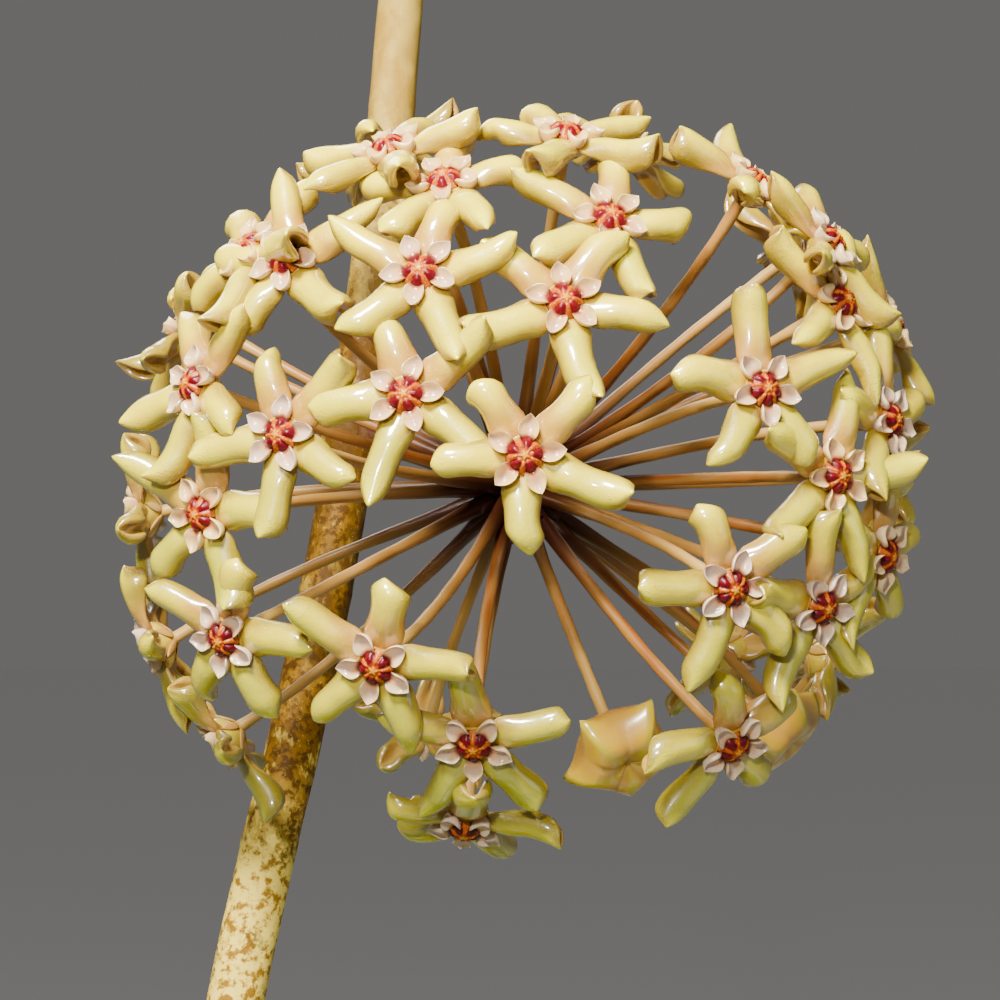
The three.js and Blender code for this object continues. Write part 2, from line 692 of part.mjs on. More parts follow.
function umbelGeometry() {
  const foot = peduncleJoint
    .clone()
    .addScaledVector(peduncleAim, stemRadius("stem_main", PEDUNCLE_PLACE) + 2 * GAP);
  const bend = PEDUNCLE_BEND.clone().add(UMBEL_CENTRE);
  const route = new THREE.QuadraticBezierCurve3(foot, bend, UMBEL_CENTRE);
  const girth = (share) => PEDUNCLE_RADIUS * (1.25 - 0.25 * Math.min(1, share * 4));
  const peduncle = tube(route, girth, PEDUNCLE_SIDES, [0, 0.2, 0.4, 0.6, 0.8, 1]);
  const rachis = new THREE.SphereGeometry(RACHIS_RADIUS, 10, 6);
  rachis.translate(UMBEL_CENTRE.x, UMBEL_CENTRE.y, UMBEL_CENTRE.z);
  const solids = [solidFrom(peduncle), solidFrom(rachis)];
  const seen = FLOWERS_IN_FRONT.map(([column, row, turn, reach, nod]) => {
    const direction = directionInPicture(column, row, reach * FLORET_REACH + CORONA_HEIGHT);
    return flowerFrame(direction, reach, turnedToViewer(direction, nod), turn);
  });
  const behind = FLOWERS_BEHIND.map(([bearing, tilt, turn, reach]) => {
    const direction = directionAt(bearing, tilt);
    return flowerFrame(direction, reach, direction, turn);
  });
  [...seen, ...behind].forEach((frame, i) => solids.push(solidFrom(floretGeometry(frame, i + 1))));
  BUDS.forEach(([bearing, tilt, turn, reach, ...aim], i) => {
    const frame = flowerFrame(directionAt(bearing, tilt), reach, directionAt(...aim), turn);
    solids.push(solidFrom(budGeometry(frame, i + FIRST_BUD_SEED)));
  });
  return geometryOf(joined(solids));
}

// The part

const CLAY = new THREE.MeshStandardMaterial({ color: 0xb5694a, roughness: 0.9, metalness: 0 });
const BARK_MIX = new THREE.MeshStandardMaterial({ color: 0x4a3424, roughness: 1, metalness: 0 });
const OLD_STEM = new THREE.MeshStandardMaterial({ color: 0xb59a5c, roughness: 0.75, metalness: 0 });
const YOUNG_STEM = new THREE.MeshStandardMaterial({ color: 0x7d7f45, roughness: 0.6, metalness: 0 });
const LEAF = new THREE.MeshStandardMaterial({ color: 0x2f5a2a, roughness: 0.4, metalness: 0 });
const FLOWER = new THREE.MeshStandardMaterial({ color: 0xe2d99a, roughness: 0.35, metalness: 0 });

const part = new THREE.Group();

function addPiece(name, geometry, material) {
  const mesh = new THREE.Mesh(geometry, material);
  mesh.name = name;
  part.add(mesh);
}

addPiece("pot", potGeometry(), CLAY);
addPiece("bark_mix", soilGeometry(), BARK_MIX);
for (const name of Object.keys(STEMS)) {
  addPiece(name, stemGeometry(name), name === "stem_main" ? OLD_STEM : YOUNG_STEM);
}
LEAVES.forEach((leaf, i) => {
  addPiece(`leaf_${String(i + 1).padStart(2, "0")}`, leafGeometry(leaf), LEAF);
});
addPiece("umbel", umbelGeometry(), FLOWER);

export default part;
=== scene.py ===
"""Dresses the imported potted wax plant: fine petals, crowns, flower stalks, bark, nerved leaves and clay.

Lengths in the tables are millimetres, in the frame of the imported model: the origin is the middle of the
pot's underside, +Z is up and the umbel faces -Y.
"""

import math

import bpy
import numpy as np
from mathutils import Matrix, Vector


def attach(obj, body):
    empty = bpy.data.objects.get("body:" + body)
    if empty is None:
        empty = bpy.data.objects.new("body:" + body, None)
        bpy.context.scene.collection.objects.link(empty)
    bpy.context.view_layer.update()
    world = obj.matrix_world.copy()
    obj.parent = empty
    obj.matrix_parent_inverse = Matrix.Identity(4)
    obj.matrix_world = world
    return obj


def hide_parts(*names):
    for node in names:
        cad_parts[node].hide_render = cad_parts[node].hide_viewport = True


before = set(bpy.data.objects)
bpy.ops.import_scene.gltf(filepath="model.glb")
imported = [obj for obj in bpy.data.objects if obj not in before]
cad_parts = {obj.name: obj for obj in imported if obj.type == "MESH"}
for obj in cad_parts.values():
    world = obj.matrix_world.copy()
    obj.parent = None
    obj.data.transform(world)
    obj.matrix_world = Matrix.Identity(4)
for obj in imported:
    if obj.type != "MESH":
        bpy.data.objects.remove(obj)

bl_info = {
    "name": "Potted wax plant",
    "version": (1, 0, 0),
    "blender": (4, 5, 0),
    "location": "3D View > Sidebar > Wax plant",
    "description": "Builds the petals, crowns, stalks, stems, leaves and pot of a potted wax plant",
    "category": "Object",
}

MM = 0.001
BODY = "root"

# Umbel: where it is, how far its flowers stand from its centre, and how the reference picture sees it.
UMBEL_CENTRE = np.array([30.0, -24.0, 292.0])
FLORET_REACH = 33.5
CORONA_HEIGHT = 1.5
PEDICEL_CURL = 9.0
PEDICEL_BOW = 0.9
# Span of height over which the lower flowers turn greener and darker: partly painted shade.
GREENING_AND_SHADE_SPAN = 60.0
PETALS = 5
SECTOR = 2 * math.pi / PETALS
VIEW_AXIS = np.array([0.0, -1.0, 0.0])
UP = np.array([0.0, 0.0, 1.0])
PICTURE = {"column": 515, "row": 487, "scale": 11.84, "eye": 220.0}

# Flowers that the picture shows: column, row, turn in degrees, reach, degrees turned to the viewer.
FLOWERS_IN_FRONT = np.array([
    [525, 455, 116, 0.99, 0],
    [566, 297, 137, 0.96, 2],
    [612, 212, 76, 0.95, 3],
    [418, 266, 79, 0.98, 8],
    [403, 393, 110, 0.96, 3],
    [280, 254, 96, 0.98, 11],
    [443, 175, 90, 0.96, -5],
    [386, 141, 81, 0.98, -10],
    [567, 127, 110, 0.97, -10],
    [760, 176, 88, 1.0, -13],
    [837, 237, 85, 1.03, -8],
    [849, 298, 144, 1.0, 10],
    [770, 387, 94, 0.97, 8],
    [898, 419, 90, 1.0, 4],
    [845, 476, 74, 0.98, 12],
    [893, 557, 85, 0.99, 4],
    [829, 610, 93, 0.98, 7],
    [737, 591, 110, 0.97, 8],
    [738, 752, 97, 0.98, 4],
    [373, 671, 75, 0.97, 4],
    [473, 751, 90, 0.94, 4],
    [464, 835, 79, 0.94, -6],
    [217, 643, 79, 0.98, 11],
    [194, 515, 78, 0.96, 8],
    [276, 434, 42, 0.97, 3],
    [187, 383, 115, 0.98, -4],
    [243, 244, 131, 0.99, -8],
])

# The rest: bearing round the view axis and angle from it in degrees, turn, reach.
FLOWERS_BEHIND = np.array([
    [184, 92, 62, 0.93],
    [204, 89, 98, 0.97],
    [155, 97, 80, 0.93],
    [221, 88, 100, 0.95],
    [23, 85, 66, 1.0],
    [331, 98, 104, 0.9],
    [2, 104, 80, 0.98],
    [40, 106, 50, 0.97],
    [72, 108, 100, 0.97],
    [112, 106, 75, 0.96],
    [152, 108, 60, 0.97],
    [320, 114, 95, 0.97],
    [322, 128, 100, 0.93],
    [250, 131, 20, 0.93],
])

# Buds: bearing, angle from the view axis, turn, reach, bearing and angle that the bud points to.
BUDS = np.array([
    [292, 49.5, 138, 0.87, 297, 42],
    [317, 78, 20, 0.9, 315, 70],
])

FIRST_BUD_SEED = 70

# Stems: route, and radius at foot, middle and tip.
OLD_STEM = "stem_main"
STEMS = {
    "stem_main": (
        [(-13, -27, 54), (-13, -27, 84), (-13, -27, 110), (-8, -25, 165), (-0.5, -21, 212), (5.5, -16, 247)]
        + [(13.6, -7, 287), (19.3, 0, 337.6), (20.5, 3.5, 382), (17, 3, 426), (10, -1, 458)],
        (2.9, 2.5, 1.5),
    ),
    "stem_right": (
        [(18, 16, 58), (18, 16, 86), (18.5, 16.3, 112), (29, 23, 144), (54, 33, 168), (84, 38, 178)]
        + [(112, 32, 192)],
        (2.4, 2.0, 1.2),
    ),
    "stem_left": (
        [(-24, 14, 58), (-24, 14, 86), (-24.6, 14.3, 112), (-38, 21, 138), (-66, 24, 152), (-94, 16, 142)]
        + [(-112, 2, 112)],
        (2.3, 1.9, 1.2),
    ),
}
STEM_SIDES = {"stem_main": 40, "stem_right": 24, "stem_left": 24}
STEM_RINGS = 520
STEM_SAMPLES = 4000
SCAR_SPACING = 23
SCAR_WIDTH = 0.7
SCAR_HEIGHT = 0.025
# Lumps of a stem: size, waves round it, and waves along it in radians a millimetre.
BARK_WAVES = [(0.035, 3, 0.31), (0.03, 5, -0.53)]
NODE_SWELL = 1.28
NODE_HALF_LENGTH = 5.0
PEDUNCLE_PLACE = 248.0
PEDUNCLE_BEND = np.array([1.5, 10.0, 2.0])

# Leaves: stem, distance along it, bearing, first and last slope, length, width, roll.
LEAVES = [
    ("stem_main", 102, -44, 30, -34, 104, 43, 6),
    ("stem_main", 102, 136, 38, -28, 100, 42, -6),
    ("stem_main", 153, 252, 22, -42, 92, 40, 4),
    ("stem_main", 153, 70, 22, -40, 98, 41, -4),
    ("stem_main", 331, -12, 46, -22, 94, 40, 8),
    ("stem_main", 331, 168, 48, -20, 90, 38, -8),
    ("stem_main", 376, 262, 54, -8, 66, 28, 5),
    ("stem_main", 376, 80, 56, -10, 70, 29, -5),
    ("stem_main", 404, 190, 66, 28, 38, 15, 0),
    ("stem_main", 404, 15, 68, 30, 40, 16, 0),
    ("stem_right", 96, 118, 36, -32, 92, 40, 8),
    ("stem_right", 96, -50, 26, -42, 94, 41, -6),
    ("stem_right", 140, 84, 30, -36, 86, 38, 6),
    ("stem_right", 140, -84, 24, -42, 86, 38, -6),
    ("stem_right", 182, 48, 30, -24, 56, 25, 0),
    ("stem_right", 182, -66, 22, -30, 60, 26, 0),
    ("stem_left", 92, 92, 26, -36, 92, 40, -8),
    ("stem_left", 92, 266, 28, -40, 90, 39, 6),
    ("stem_left", 132, 112, 34, -30, 84, 37, -6),
    ("stem_left", 132, 262, 26, -44, 82, 36, 6),
    ("stem_left", 178, 150, 10, -50, 54, 24, 0),
    ("stem_left", 178, 268, 4, -52, 52, 23, 0),
]
PETIOLE_LENGTH = 13.0
PETIOLE_RADIUS = 1.7

# Pot and bark mix
POT_CENTRE_GAP = 0.6
POT_HEIGHT = 120.0
POT_BASE_RADIUS = 44.0
POT_TOP_RADIUS = 61.0
POT_RIM_RADIUS = 67.0
POT_RIM_HEIGHT = 24.0
POT_WALL = 5.5
POT_FLOOR = 7.0
DRAIN_RADIUS = 4.5
DRAIN_CIRCLE = 23.0
DRAINS = 3
DRAIN_TURN = 0.5
DRAIN_SIDES = 24
SOIL_TOP = 106.0
SOIL_HUMP = 3.0
SOIL_GAP = 0.4


# Numbers and curves

WAVE_PITCH = 127.1
WAVE_START = 311.7
WAVE_SIZE = 43758.5453


def chance(seeds):
    """Numbers from 0 to 1 that depend only on their seeds: the fraction of a large sine."""
    wave = np.sin(np.asarray(seeds, float) * WAVE_PITCH + WAVE_START) * WAVE_SIZE
    return wave - np.floor(wave)


def circle(sides):
    """Evenly spaced angles of a whole turn."""
    return np.arange(sides) / sides * 2 * math.pi


def running(start, steps):
    """A running sum of steps (their last axis), from a start."""
    return start + np.concatenate([np.zeros_like(steps[..., :1]), np.cumsum(steps, axis=-1)], axis=-1)


def travelled(points):
    """Distance along a line of points at each of them."""
    return running(0.0, np.linalg.norm(np.diff(points, axis=0), axis=1))


def upright(radius, turn, height):
    """Points at a radius and a turn round the upright axis, and at a height."""
    return np.stack(np.broadcast_arrays(radius * np.cos(turn), radius * np.sin(turn), height), axis=-1)


def smooth(stations, values, at):
    """Cubic Hermite curve through values (their last axis) at the stations, its slopes from neighbours."""
    stations = np.asarray(stations, float)
    values = np.asarray(values, float)
    slopes = np.gradient(values, stations, axis=-1)
    left = np.clip(np.searchsorted(stations, at, side="right") - 1, 0, len(stations) - 2)
    step = stations[left + 1] - stations[left]
    t = (at - stations[left]) / step
    return (
        (2 * t**3 - 3 * t**2 + 1) * values[..., left]
        + (t**3 - 2 * t**2 + t) * step * slopes[..., left]
        + (3 * t**2 - 2 * t**3) * values[..., left + 1]
        + (t**3 - t**2) * step * slopes[..., left + 1]
    )


def unit(vectors):
    return vectors / np.linalg.norm(vectors, axis=-1, keepdims=True)


def bend_curve(start, bend, end, share):
    """Quadratic curve from start towards bend and then to end, at shares from 0 to 1 of it."""
    return (1 - share) ** 2 * start + 2 * share * (1 - share) * bend + share**2 * end


def bell(offset, width):
    """1 at no offset, and less on both sides as exp(-(offset / width) ** 2)."""
    return np.exp(-((offset / width) ** 2))


STEPS_PER_SPAN = 200


def through(points, count):
    """Centripetal Catmull-Rom curve through points: evenly spaced samples of it, and their distances."""
    points = np.asarray(points, float)
    padded = np.vstack([2 * points[0] - points[1], points, 2 * points[-1] - points[-2]])
    p0, p1, p2, p3 = padded[:-3], padded[1:-2], padded[2:-1], padded[3:]
    a, b, c = (np.sqrt(np.linalg.norm(q - p, axis=1))[:, None] for p, q in ((p0, p1), (p1, p2), (p2, p3)))
    start = ((p1 - p0) / a - (p2 - p0) / (a + b) + (p2 - p1) / b) * b
    end = ((p2 - p1) / b - (p3 - p1) / (b + c) + (p3 - p2) / c) * b
    t = np.linspace(0, 1, STEPS_PER_SPAN)[None, :, None]
    p1, p2, start, end = (q[:, None, :] for q in (p1, p2, start, end))
    rough = (2 * t**3 - 3 * t**2 + 1) * p1 + (t**3 - 2 * t**2 + t) * start
    rough = rough + (3 * t**2 - 2 * t**3) * p2 + (t**3 - t**2) * end
    rough = rough.reshape(-1, 3)
    distance = travelled(rough)
    even = np.linspace(0, distance[-1], count)
    return np.stack([np.interp(even, distance, rough[:, i]) for i in range(3)], axis=1), even


# Meshes


def ring_quads(rings, sides):
    """Corner indices of the quads between successive closed rings of a grid."""
    ring, side = np.meshgrid(np.arange(rings - 1), np.arange(sides), indexing="ij")
    here, following = ring * sides + side, ring * sides + (side + 1) % sides
    return np.stack([here, following, following + sides, here + sides], axis=-1).reshape(-1, 4)


def fan(ring_start, sides, pole, outward):
    """Triangles from a ring to a pole, as quads whose last corner is -1."""
    side = np.arange(sides)
    following = (side + 1) % sides
    pair = (side, following) if outward else (following, side)
    corners = [ring_start + pair[0], ring_start + pair[1], np.full(sides, pole), np.full(sides, -1)]
    return np.stack(corners, axis=1)


def tube_faces(rings, sides):
    """Faces of a tube whose ends close to two poles, the start's and then the end's, after its rings."""
    body = ring_quads(rings, sides)
    start = fan(0, sides, rings * sides, False)
    end = fan((rings - 1) * sides, sides, rings * sides + 1, True)
    return np.vstack([body, start, end])


def bodies(points, faces, values):
    """A mesh of like bodies: points are (bodies, each, 3), and the values broadcast to (bodies, each)."""
    count, each = points.shape[:2]
    shifts = np.arange(count)[:, None, None] * each
    faces = np.where(faces[None] < 0, -1, faces[None] + shifts).reshape(-1, 4)
    flat = {key: np.broadcast_to(value, (count, each)).ravel() for key, value in values.items()}
    return points.reshape(-1, 3), faces, flat


def joined(*meshes):
    """One mesh from several of points, faces and values, with the values that the first one names."""
    points, faces, values = zip(*meshes)
    starts = running(0, np.array([len(some) for some in points]))
    faces = [np.where(some < 0, -1, some + start) for some, start in zip(faces, starts)]
    together = {key: np.concatenate([some[key] for some in values]) for key in values[0]}
    return np.vstack(points), np.vstack(faces), together


def tubes(rings, poles, **values):
    """A mesh of closed tubes from rings (tubes, rings, sides, 3) and poles (tubes, 2, 3).

    A value is one that broadcasts to (tubes, points), or a triple for the rings and for each pole.
    """
    shape = rings.shape[-3:-1]
    points = np.concatenate([rings.reshape(*poles.shape[:-2], -1, 3), poles], axis=-2)
    for key, value in values.items():
        if isinstance(value, tuple):
            values[key] = np.append(np.broadcast_to(value[0], shape), value[1:])
    return bodies(points.reshape(-1, *points.shape[-2:]), tube_faces(*shape), values)


def around(centres, across, up, radius, sides):
    """Rings and poles of tubes: centre + radius * (cos * across + sin * up).

    centres is (tubes, rings, 3), across and up broadcast to it, and radius to (tubes, rings, sides).
    """
    turn = circle(sides)[:, None]
    outward = np.cos(turn) * across[:, :, None] + np.sin(turn) * up[:, :, None]
    return centres[:, :, None] + radius[..., None] * outward, centres[:, [0, -1]]


def framed(path, guide):
    """Centres and axes of a tube along a path: one axis is square to the path and a guide."""
    tangents = unit(np.gradient(path, axis=0))
    across = unit(np.cross(tangents, guide))
    return path[None], across[None], np.cross(tangents, across)[None]


def add_mesh(name, points, faces, values):
    """A smooth mesh object from points in millimetres, faces with -1 for no fourth corner, and values."""
    points = np.asarray(points, float).reshape(-1, 3)
    faces = np.asarray(faces)
    three = faces[:, 3] < 0
    corners = np.concatenate([faces[~three].ravel(), faces[three][:, :3].ravel()])
    sizes = np.concatenate([np.full((~three).sum(), 4), np.full(three.sum(), 3)])
    mesh = bpy.data.meshes.new(name)
    mesh.vertices.add(len(points))
    mesh.vertices.foreach_set("co", (points * MM).ravel())
    mesh.loops.add(len(corners))
    mesh.loops.foreach_set("vertex_index", corners)
    mesh.polygons.add(len(sizes))
    mesh.polygons.foreach_set("loop_start", np.concatenate([[0], np.cumsum(sizes)[:-1]]))
    mesh.polygons.foreach_set("use_smooth", np.ones(len(sizes), bool))
    mesh.update(calc_edges=True)
    for key, value in values.items():
        mesh.attributes.new(key, "FLOAT", "POINT").data.foreach_set("value", np.asarray(value, float))
    mesh.validate()
    made = bpy.data.objects.new(name, mesh)
    bpy.context.collection.objects.link(made)
    return made


def smoothed(piece, levels):
    """Rounds a coarse cage with a Subdivision Surface."""
    rounding = piece.modifiers.new("rounding", "SUBSURF")
    rounding.levels = levels
    rounding.render_levels = levels


def finish_piece(piece, material, replaced=()):
    """Gives a piece its material and its body, and hides the model's nodes that it stands for."""
    piece.data.materials.append(material)
    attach(piece, BODY)
    if replaced:
        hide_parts(*replaced)


# Shader maths


class Wire:
    """A shader socket. Python's operators on it add Math nodes, and its methods add curves and limits."""

    def __init__(self, finish, socket):
        self.finish = finish
        self.socket = socket

    def maths(self, operation, *values, clamp=False):
        settings = {"operation": operation, "use_clamp": clamp}
        return self.finish.node("ShaderNodeMath", settings, dict(enumerate(values)))

    def __add__(self, other):
        return self.maths("ADD", self, other)

    def __sub__(self, other):
        return self.maths("SUBTRACT", self, other)

    def __rsub__(self, other):
        return self.maths("SUBTRACT", other, self)

    def __mul__(self, other):
        return self.maths("MULTIPLY", self, other)

    def __pow__(self, other):
        return self.maths("POWER", self, other)

    def __abs__(self):
        return self.maths("ABSOLUTE", self)

    __radd__ = __add__
    __rmul__ = __mul__

    def cosine(self):
        return self.maths("COSINE", self)

    def clamp(self):
        return self.maths("ADD", self, 0.0, clamp=True)

    def most(self, other):
        return self.maths("MAXIMUM", self, other)

    def rise(self, low, high):
        """0 below low, 1 above high, and a smooth step between. low above high falls instead."""
        settings = {"interpolation_type": "SMOOTHSTEP"}
        low, high, start, end = (low, high, 0.0, 1.0) if low < high else (high, low, 1.0, 0.0)
        return self.finish.node("ShaderNodeMapRange", settings, {0: self, 1: low, 2: high, 3: start, 4: end})


class Finish:
    """A material under construction: one method adds any node, and others wrap the ones used most."""

    def __init__(self, name, **constants):
        self.material = bpy.data.materials.new(name)
        self.material.use_nodes = True
        self.tree = self.material.node_tree
        self.shader = self.tree.nodes["Principled BSDF"]
        self.set(**constants)

    def plug(self, socket, value):
        if isinstance(value, Wire):
            self.tree.links.new(value.socket, socket)
        elif socket.type == "RGBA":
            socket.default_value = (*value, 1.0)
        else:
            socket.default_value = value

    def node(self, kind, settings, sockets, output=0):
        """Adds a node: first its settings, such as an operation, and then what its sockets get."""
        made = self.tree.nodes.new(kind)
        for key, value in settings.items():
            setattr(made, key, value)
        for key, value in sockets.items():
            self.plug(made.inputs[key], value)
        return Wire(self, made.outputs[output])

    def value(self, name):
        """A number that the mesh holds at each point."""
        return self.node("ShaderNodeAttribute", {"attribute_name": name}, {}, "Fac")

    def values(self, *names):
        return [self.value(name) for name in names]

    def place(self, stretch=(1.0, 1.0, 1.0)):
        """Object coordinates in millimetres, stretched along each axis."""
        here = self.node("ShaderNodeTexCoord", {}, {}, "Object")
        scale = tuple(part / MM for part in stretch)
        return self.node("ShaderNodeMapping", {}, {"Vector": here, "Scale": scale})

    def noise(self, size, detail=3.0, roughness=0.5, at=None):
        """Noise from 0 to 1 whose blotches are about size millimetres across."""
        at = at or self.place()
        sockets = {"Vector": at, "Scale": 1.0 / size, "Detail": detail, "Roughness": roughness}
        return self.node("ShaderNodeTexNoise", {}, sockets)

    def cells(self, size, feature="F1", at=None):
        """Distance from the middle of cells about size millimetres across, or to their edges."""
        sockets = {"Vector": at or self.place(), "Scale": 1.0 / size}
        return self.node("ShaderNodeTexVoronoi", {"feature": feature}, sockets, "Distance")

    def mix(self, factor, first, second):
        """The first colour where factor is 0, the second where it is 1."""
        settings = {"data_type": "RGBA", "clamp_factor": True}
        return self.node("ShaderNodeMix", settings, {0: factor, 6: first, 7: second}, 2)

    def paint(self, ground, *layers):
        """A colour with others laid over it, each where its own factor is 1."""
        for factor, colour in layers:
            ground = self.mix(factor, ground, colour)
        return ground

    def vector(self, x, y, z):
        return self.node("ShaderNodeCombineXYZ", {}, {0: x, 1: y, 2: z})

    def split(self, vector):
        return [self.node("ShaderNodeSeparateXYZ", {}, {0: vector}, axis) for axis in range(3)]

    def bump(self, height, depth, strength=1.0):
        """A normal from a height of 0 to 1 that stands for depth millimetres."""
        sockets = {"Height": height, "Distance": depth * MM, "Strength": strength}
        return self.node("ShaderNodeBump", {}, sockets, "Normal")

    def set(self, **values):
        """Plugs values into the shader's sockets, and gives back the finished material."""
        for key, value in values.items():
            self.plug(self.shader.inputs[key.replace("_", " ")], value)
        return self.material


# The umbel's frames


def directions_in_picture(columns, rows, reach):
    """Unit vectors from the umbel's centre to what the picture shows at columns and rows.

    Each is where the sight line meets the sphere of radius reach, or comes nearest to it.
    """
    eye = PICTURE["eye"]
    across = (columns - PICTURE["column"]) / PICTURE["scale"]
    up = (PICTURE["row"] - rows) / PICTURE["scale"]
    sight = unit(np.stack([across, np.full_like(across, eye), up], axis=1))
    nearest = eye * sight[:, 1]
    depth = np.sqrt(np.maximum(0, reach**2 - (eye**2 - nearest**2)))
    return unit(eye * VIEW_AXIS + sight * (nearest - depth)[:, None])


def directions_at(bearing, tilt):
    """Unit vectors at a bearing round the view axis, and an angle from it, in degrees."""
    bearing, tilt = np.radians(bearing), np.radians(tilt)
    return np.stack([np.sin(tilt) * np.cos(bearing), -np.cos(tilt), np.sin(tilt) * np.sin(bearing)], axis=1)


def turned_to_viewer(directions, degrees):
    """The directions with their angle from the view axis made smaller by some degrees."""
    tilt = np.arccos(-directions[:, 1]) - np.radians(degrees)
    turned = unit(directions * [1, 0, 1]) * np.sin(tilt)[:, None]
    turned[:, 1] = -np.cos(tilt)
    return turned


class Heads:
    """Frames of several flowers or buds: base, facing, and two axes square to facing, turned as given.

    The axes are X and Z carried by the shortest turn from the view axis to facing, then turned about it.
    """

    def __init__(self, directions, reach, facing, turn, seeds):
        self.base = UMBEL_CENTRE + directions * (reach * FLORET_REACH)[:, None]
        self.facing = facing
        self.seeds = seeds
        axis = np.cross(VIEW_AXIS, facing)
        lean = (1.0 / (1.0 + facing @ VIEW_AXIS))[:, None]

        def carried(guide):
            aside = np.cross(axis, guide)
            return guide + aside + lean * np.cross(axis, aside)

        east, north = carried([1.0, 0.0, 0.0]), carried([0.0, 0.0, 1.0])
        cosine, sine = np.cos(np.radians(turn))[:, None], np.sin(np.radians(turn))[:, None]
        self.across = east * cosine + north * sine
        self.up = north * cosine - east * sine

    def __len__(self):
        return len(self.base)

    def place(self, radius, angle, height, sideways=0.0):
        """Points at a radius, angle and height over each base.

        The arrays' first axis is the heads, or has length 1 where all are alike.
        """
        x = radius * np.cos(angle) - sideways * np.sin(angle)
        y = radius * np.sin(angle) + sideways * np.cos(angle)
        x, y, height = (part[..., None] for part in np.broadcast_arrays(x, y, height))
        spread = (len(self),) + (1,) * (x.ndim - 2) + (3,)
        base, across, up, facing = (
            part.reshape(spread) for part in (self.base, self.across, self.up, self.facing)
        )
        return base + x * across + y * up + height * facing

    def part(self, chosen):
        """The frames of some of the heads only."""
        some = object.__new__(Heads)
        for key, values in vars(self).items():
            setattr(some, key, values[chosen])
        return some


def flower_heads():
    """Frames of all the open flowers, those that the picture shows first."""
    column, row, turn, reach, nod = FLOWERS_IN_FRONT.T
    seen = directions_in_picture(column, row, reach * FLORET_REACH + CORONA_HEIGHT)
    behind = directions_at(FLOWERS_BEHIND[:, 0], FLOWERS_BEHIND[:, 1])
    return Heads(
        np.vstack([seen, behind]),
        np.concatenate([reach, FLOWERS_BEHIND[:, 3]]),
        np.vstack([turned_to_viewer(seen, nod), behind]),
        np.concatenate([turn, FLOWERS_BEHIND[:, 2]]),
        np.arange(len(seen) + len(behind)) + 1,
    )


def bud_heads():
    """Frames of the buds, whose seeds follow on from the flowers'."""
    bearing, tilt, turn, reach, aim, aim_tilt = BUDS.T
    seeds = np.arange(len(BUDS)) + FIRST_BUD_SEED
    return Heads(directions_at(bearing, tilt), reach, directions_at(aim, aim_tilt), turn, seeds)


def stalk_paths(heads, neck):
    """Centres (heads, rings, 3) from inside the knob to each flower's neck.

    A quadratic curve that leaves towards a point PEDICEL_CURL behind the neck, plus a sine bow sideways.
    """
    share = np.linspace(STALK_START, 1, STALK_RINGS)[None, :, None]
    end = heads.base + heads.facing * neck
    bend = end - heads.facing * PEDICEL_CURL
    side = chance(heads.seeds) * 2 * math.pi
    sideways = heads.across * np.cos(side)[:, None] + heads.up * np.sin(side)[:, None]
    path = bend_curve(UMBEL_CENTRE, bend[:, None], end[:, None], share)
    return path + PEDICEL_BOW * np.sin(math.pi * share) * sideways[:, None]


def tones_and_height_shade(heads):
    """Tone and greenness of each flower: paler towards the top, greener and darker towards the bottom, with
    some chance in both. The change with height is partly real greening and partly painted light and shade
    from above.
    """
    low = np.clip(0.5 - (heads.base[:, 2] - UMBEL_CENTRE[2]) / GREENING_AND_SHADE_SPAN, 0, 1)
    tone = 0.5 * chance(heads.seeds * 23) + 0.5 * (1 - low)
    green = np.clip(low * 1.1 - 0.25 + 0.3 * (chance(heads.seeds * 29) - 0.5), 0, 1)
    return tone, green


# Petals

PETAL_STATIONS = [
    # distance out, height of the ridge, radius of the section, half of its turn in degrees
    (1.0, 0.75, 2.2, 24),
    (2.25, 1.0, 2.6, 50),
    (3.3, 1.5, 1.62, 98),
    (4.7, 1.56, 1.5, 152),
    (5.75, 1.66, 1.8, 162),
    (6.5, 1.54, 1.74, 154),
    (6.95, 1.26, 1.2, 118),
    (7.25, 1.0, 0.62, 64),
]
PETAL_TIP = (7.55, 0.8)
PETAL_SNOUT = 1.5
SNOUT_START = 6.6
PETAL_BASE_WIDTH = 2.95
PETAL_BEND = 4.8
PETAL_HOOK = 74.0
PETAL_LIFT = 1.7
PETAL_SWAY = 1.5
SNOUT_SWAY = 2.6
PETAL_SWING = 0.16
PETAL_UNEVENNESS = 0.05
PETAL_FLATNESS = 0.95
THICKEST_WALL = 0.6
TAPER = 0.26
SNOUT_TAPER = 0.16
BELLY_GAIN = 0.07
BELLY = (3.4, 1.5)
SHOULDER = (6.2, 0.9)
PETAL_SKIN = 7
PETAL_LINING = 5
LINING_REACH = 0.94
CUP_PROFILE = np.array([(0.5, -1.05), (1.15, -0.8), (1.9, -0.3), (2.3, 0.2), (1.9, 0.75), (0.8, 0.95)])
CUP_POLES = (-1.0, 0.92)
CUP_SIDES = 15
CUP_LOBES = 0.08


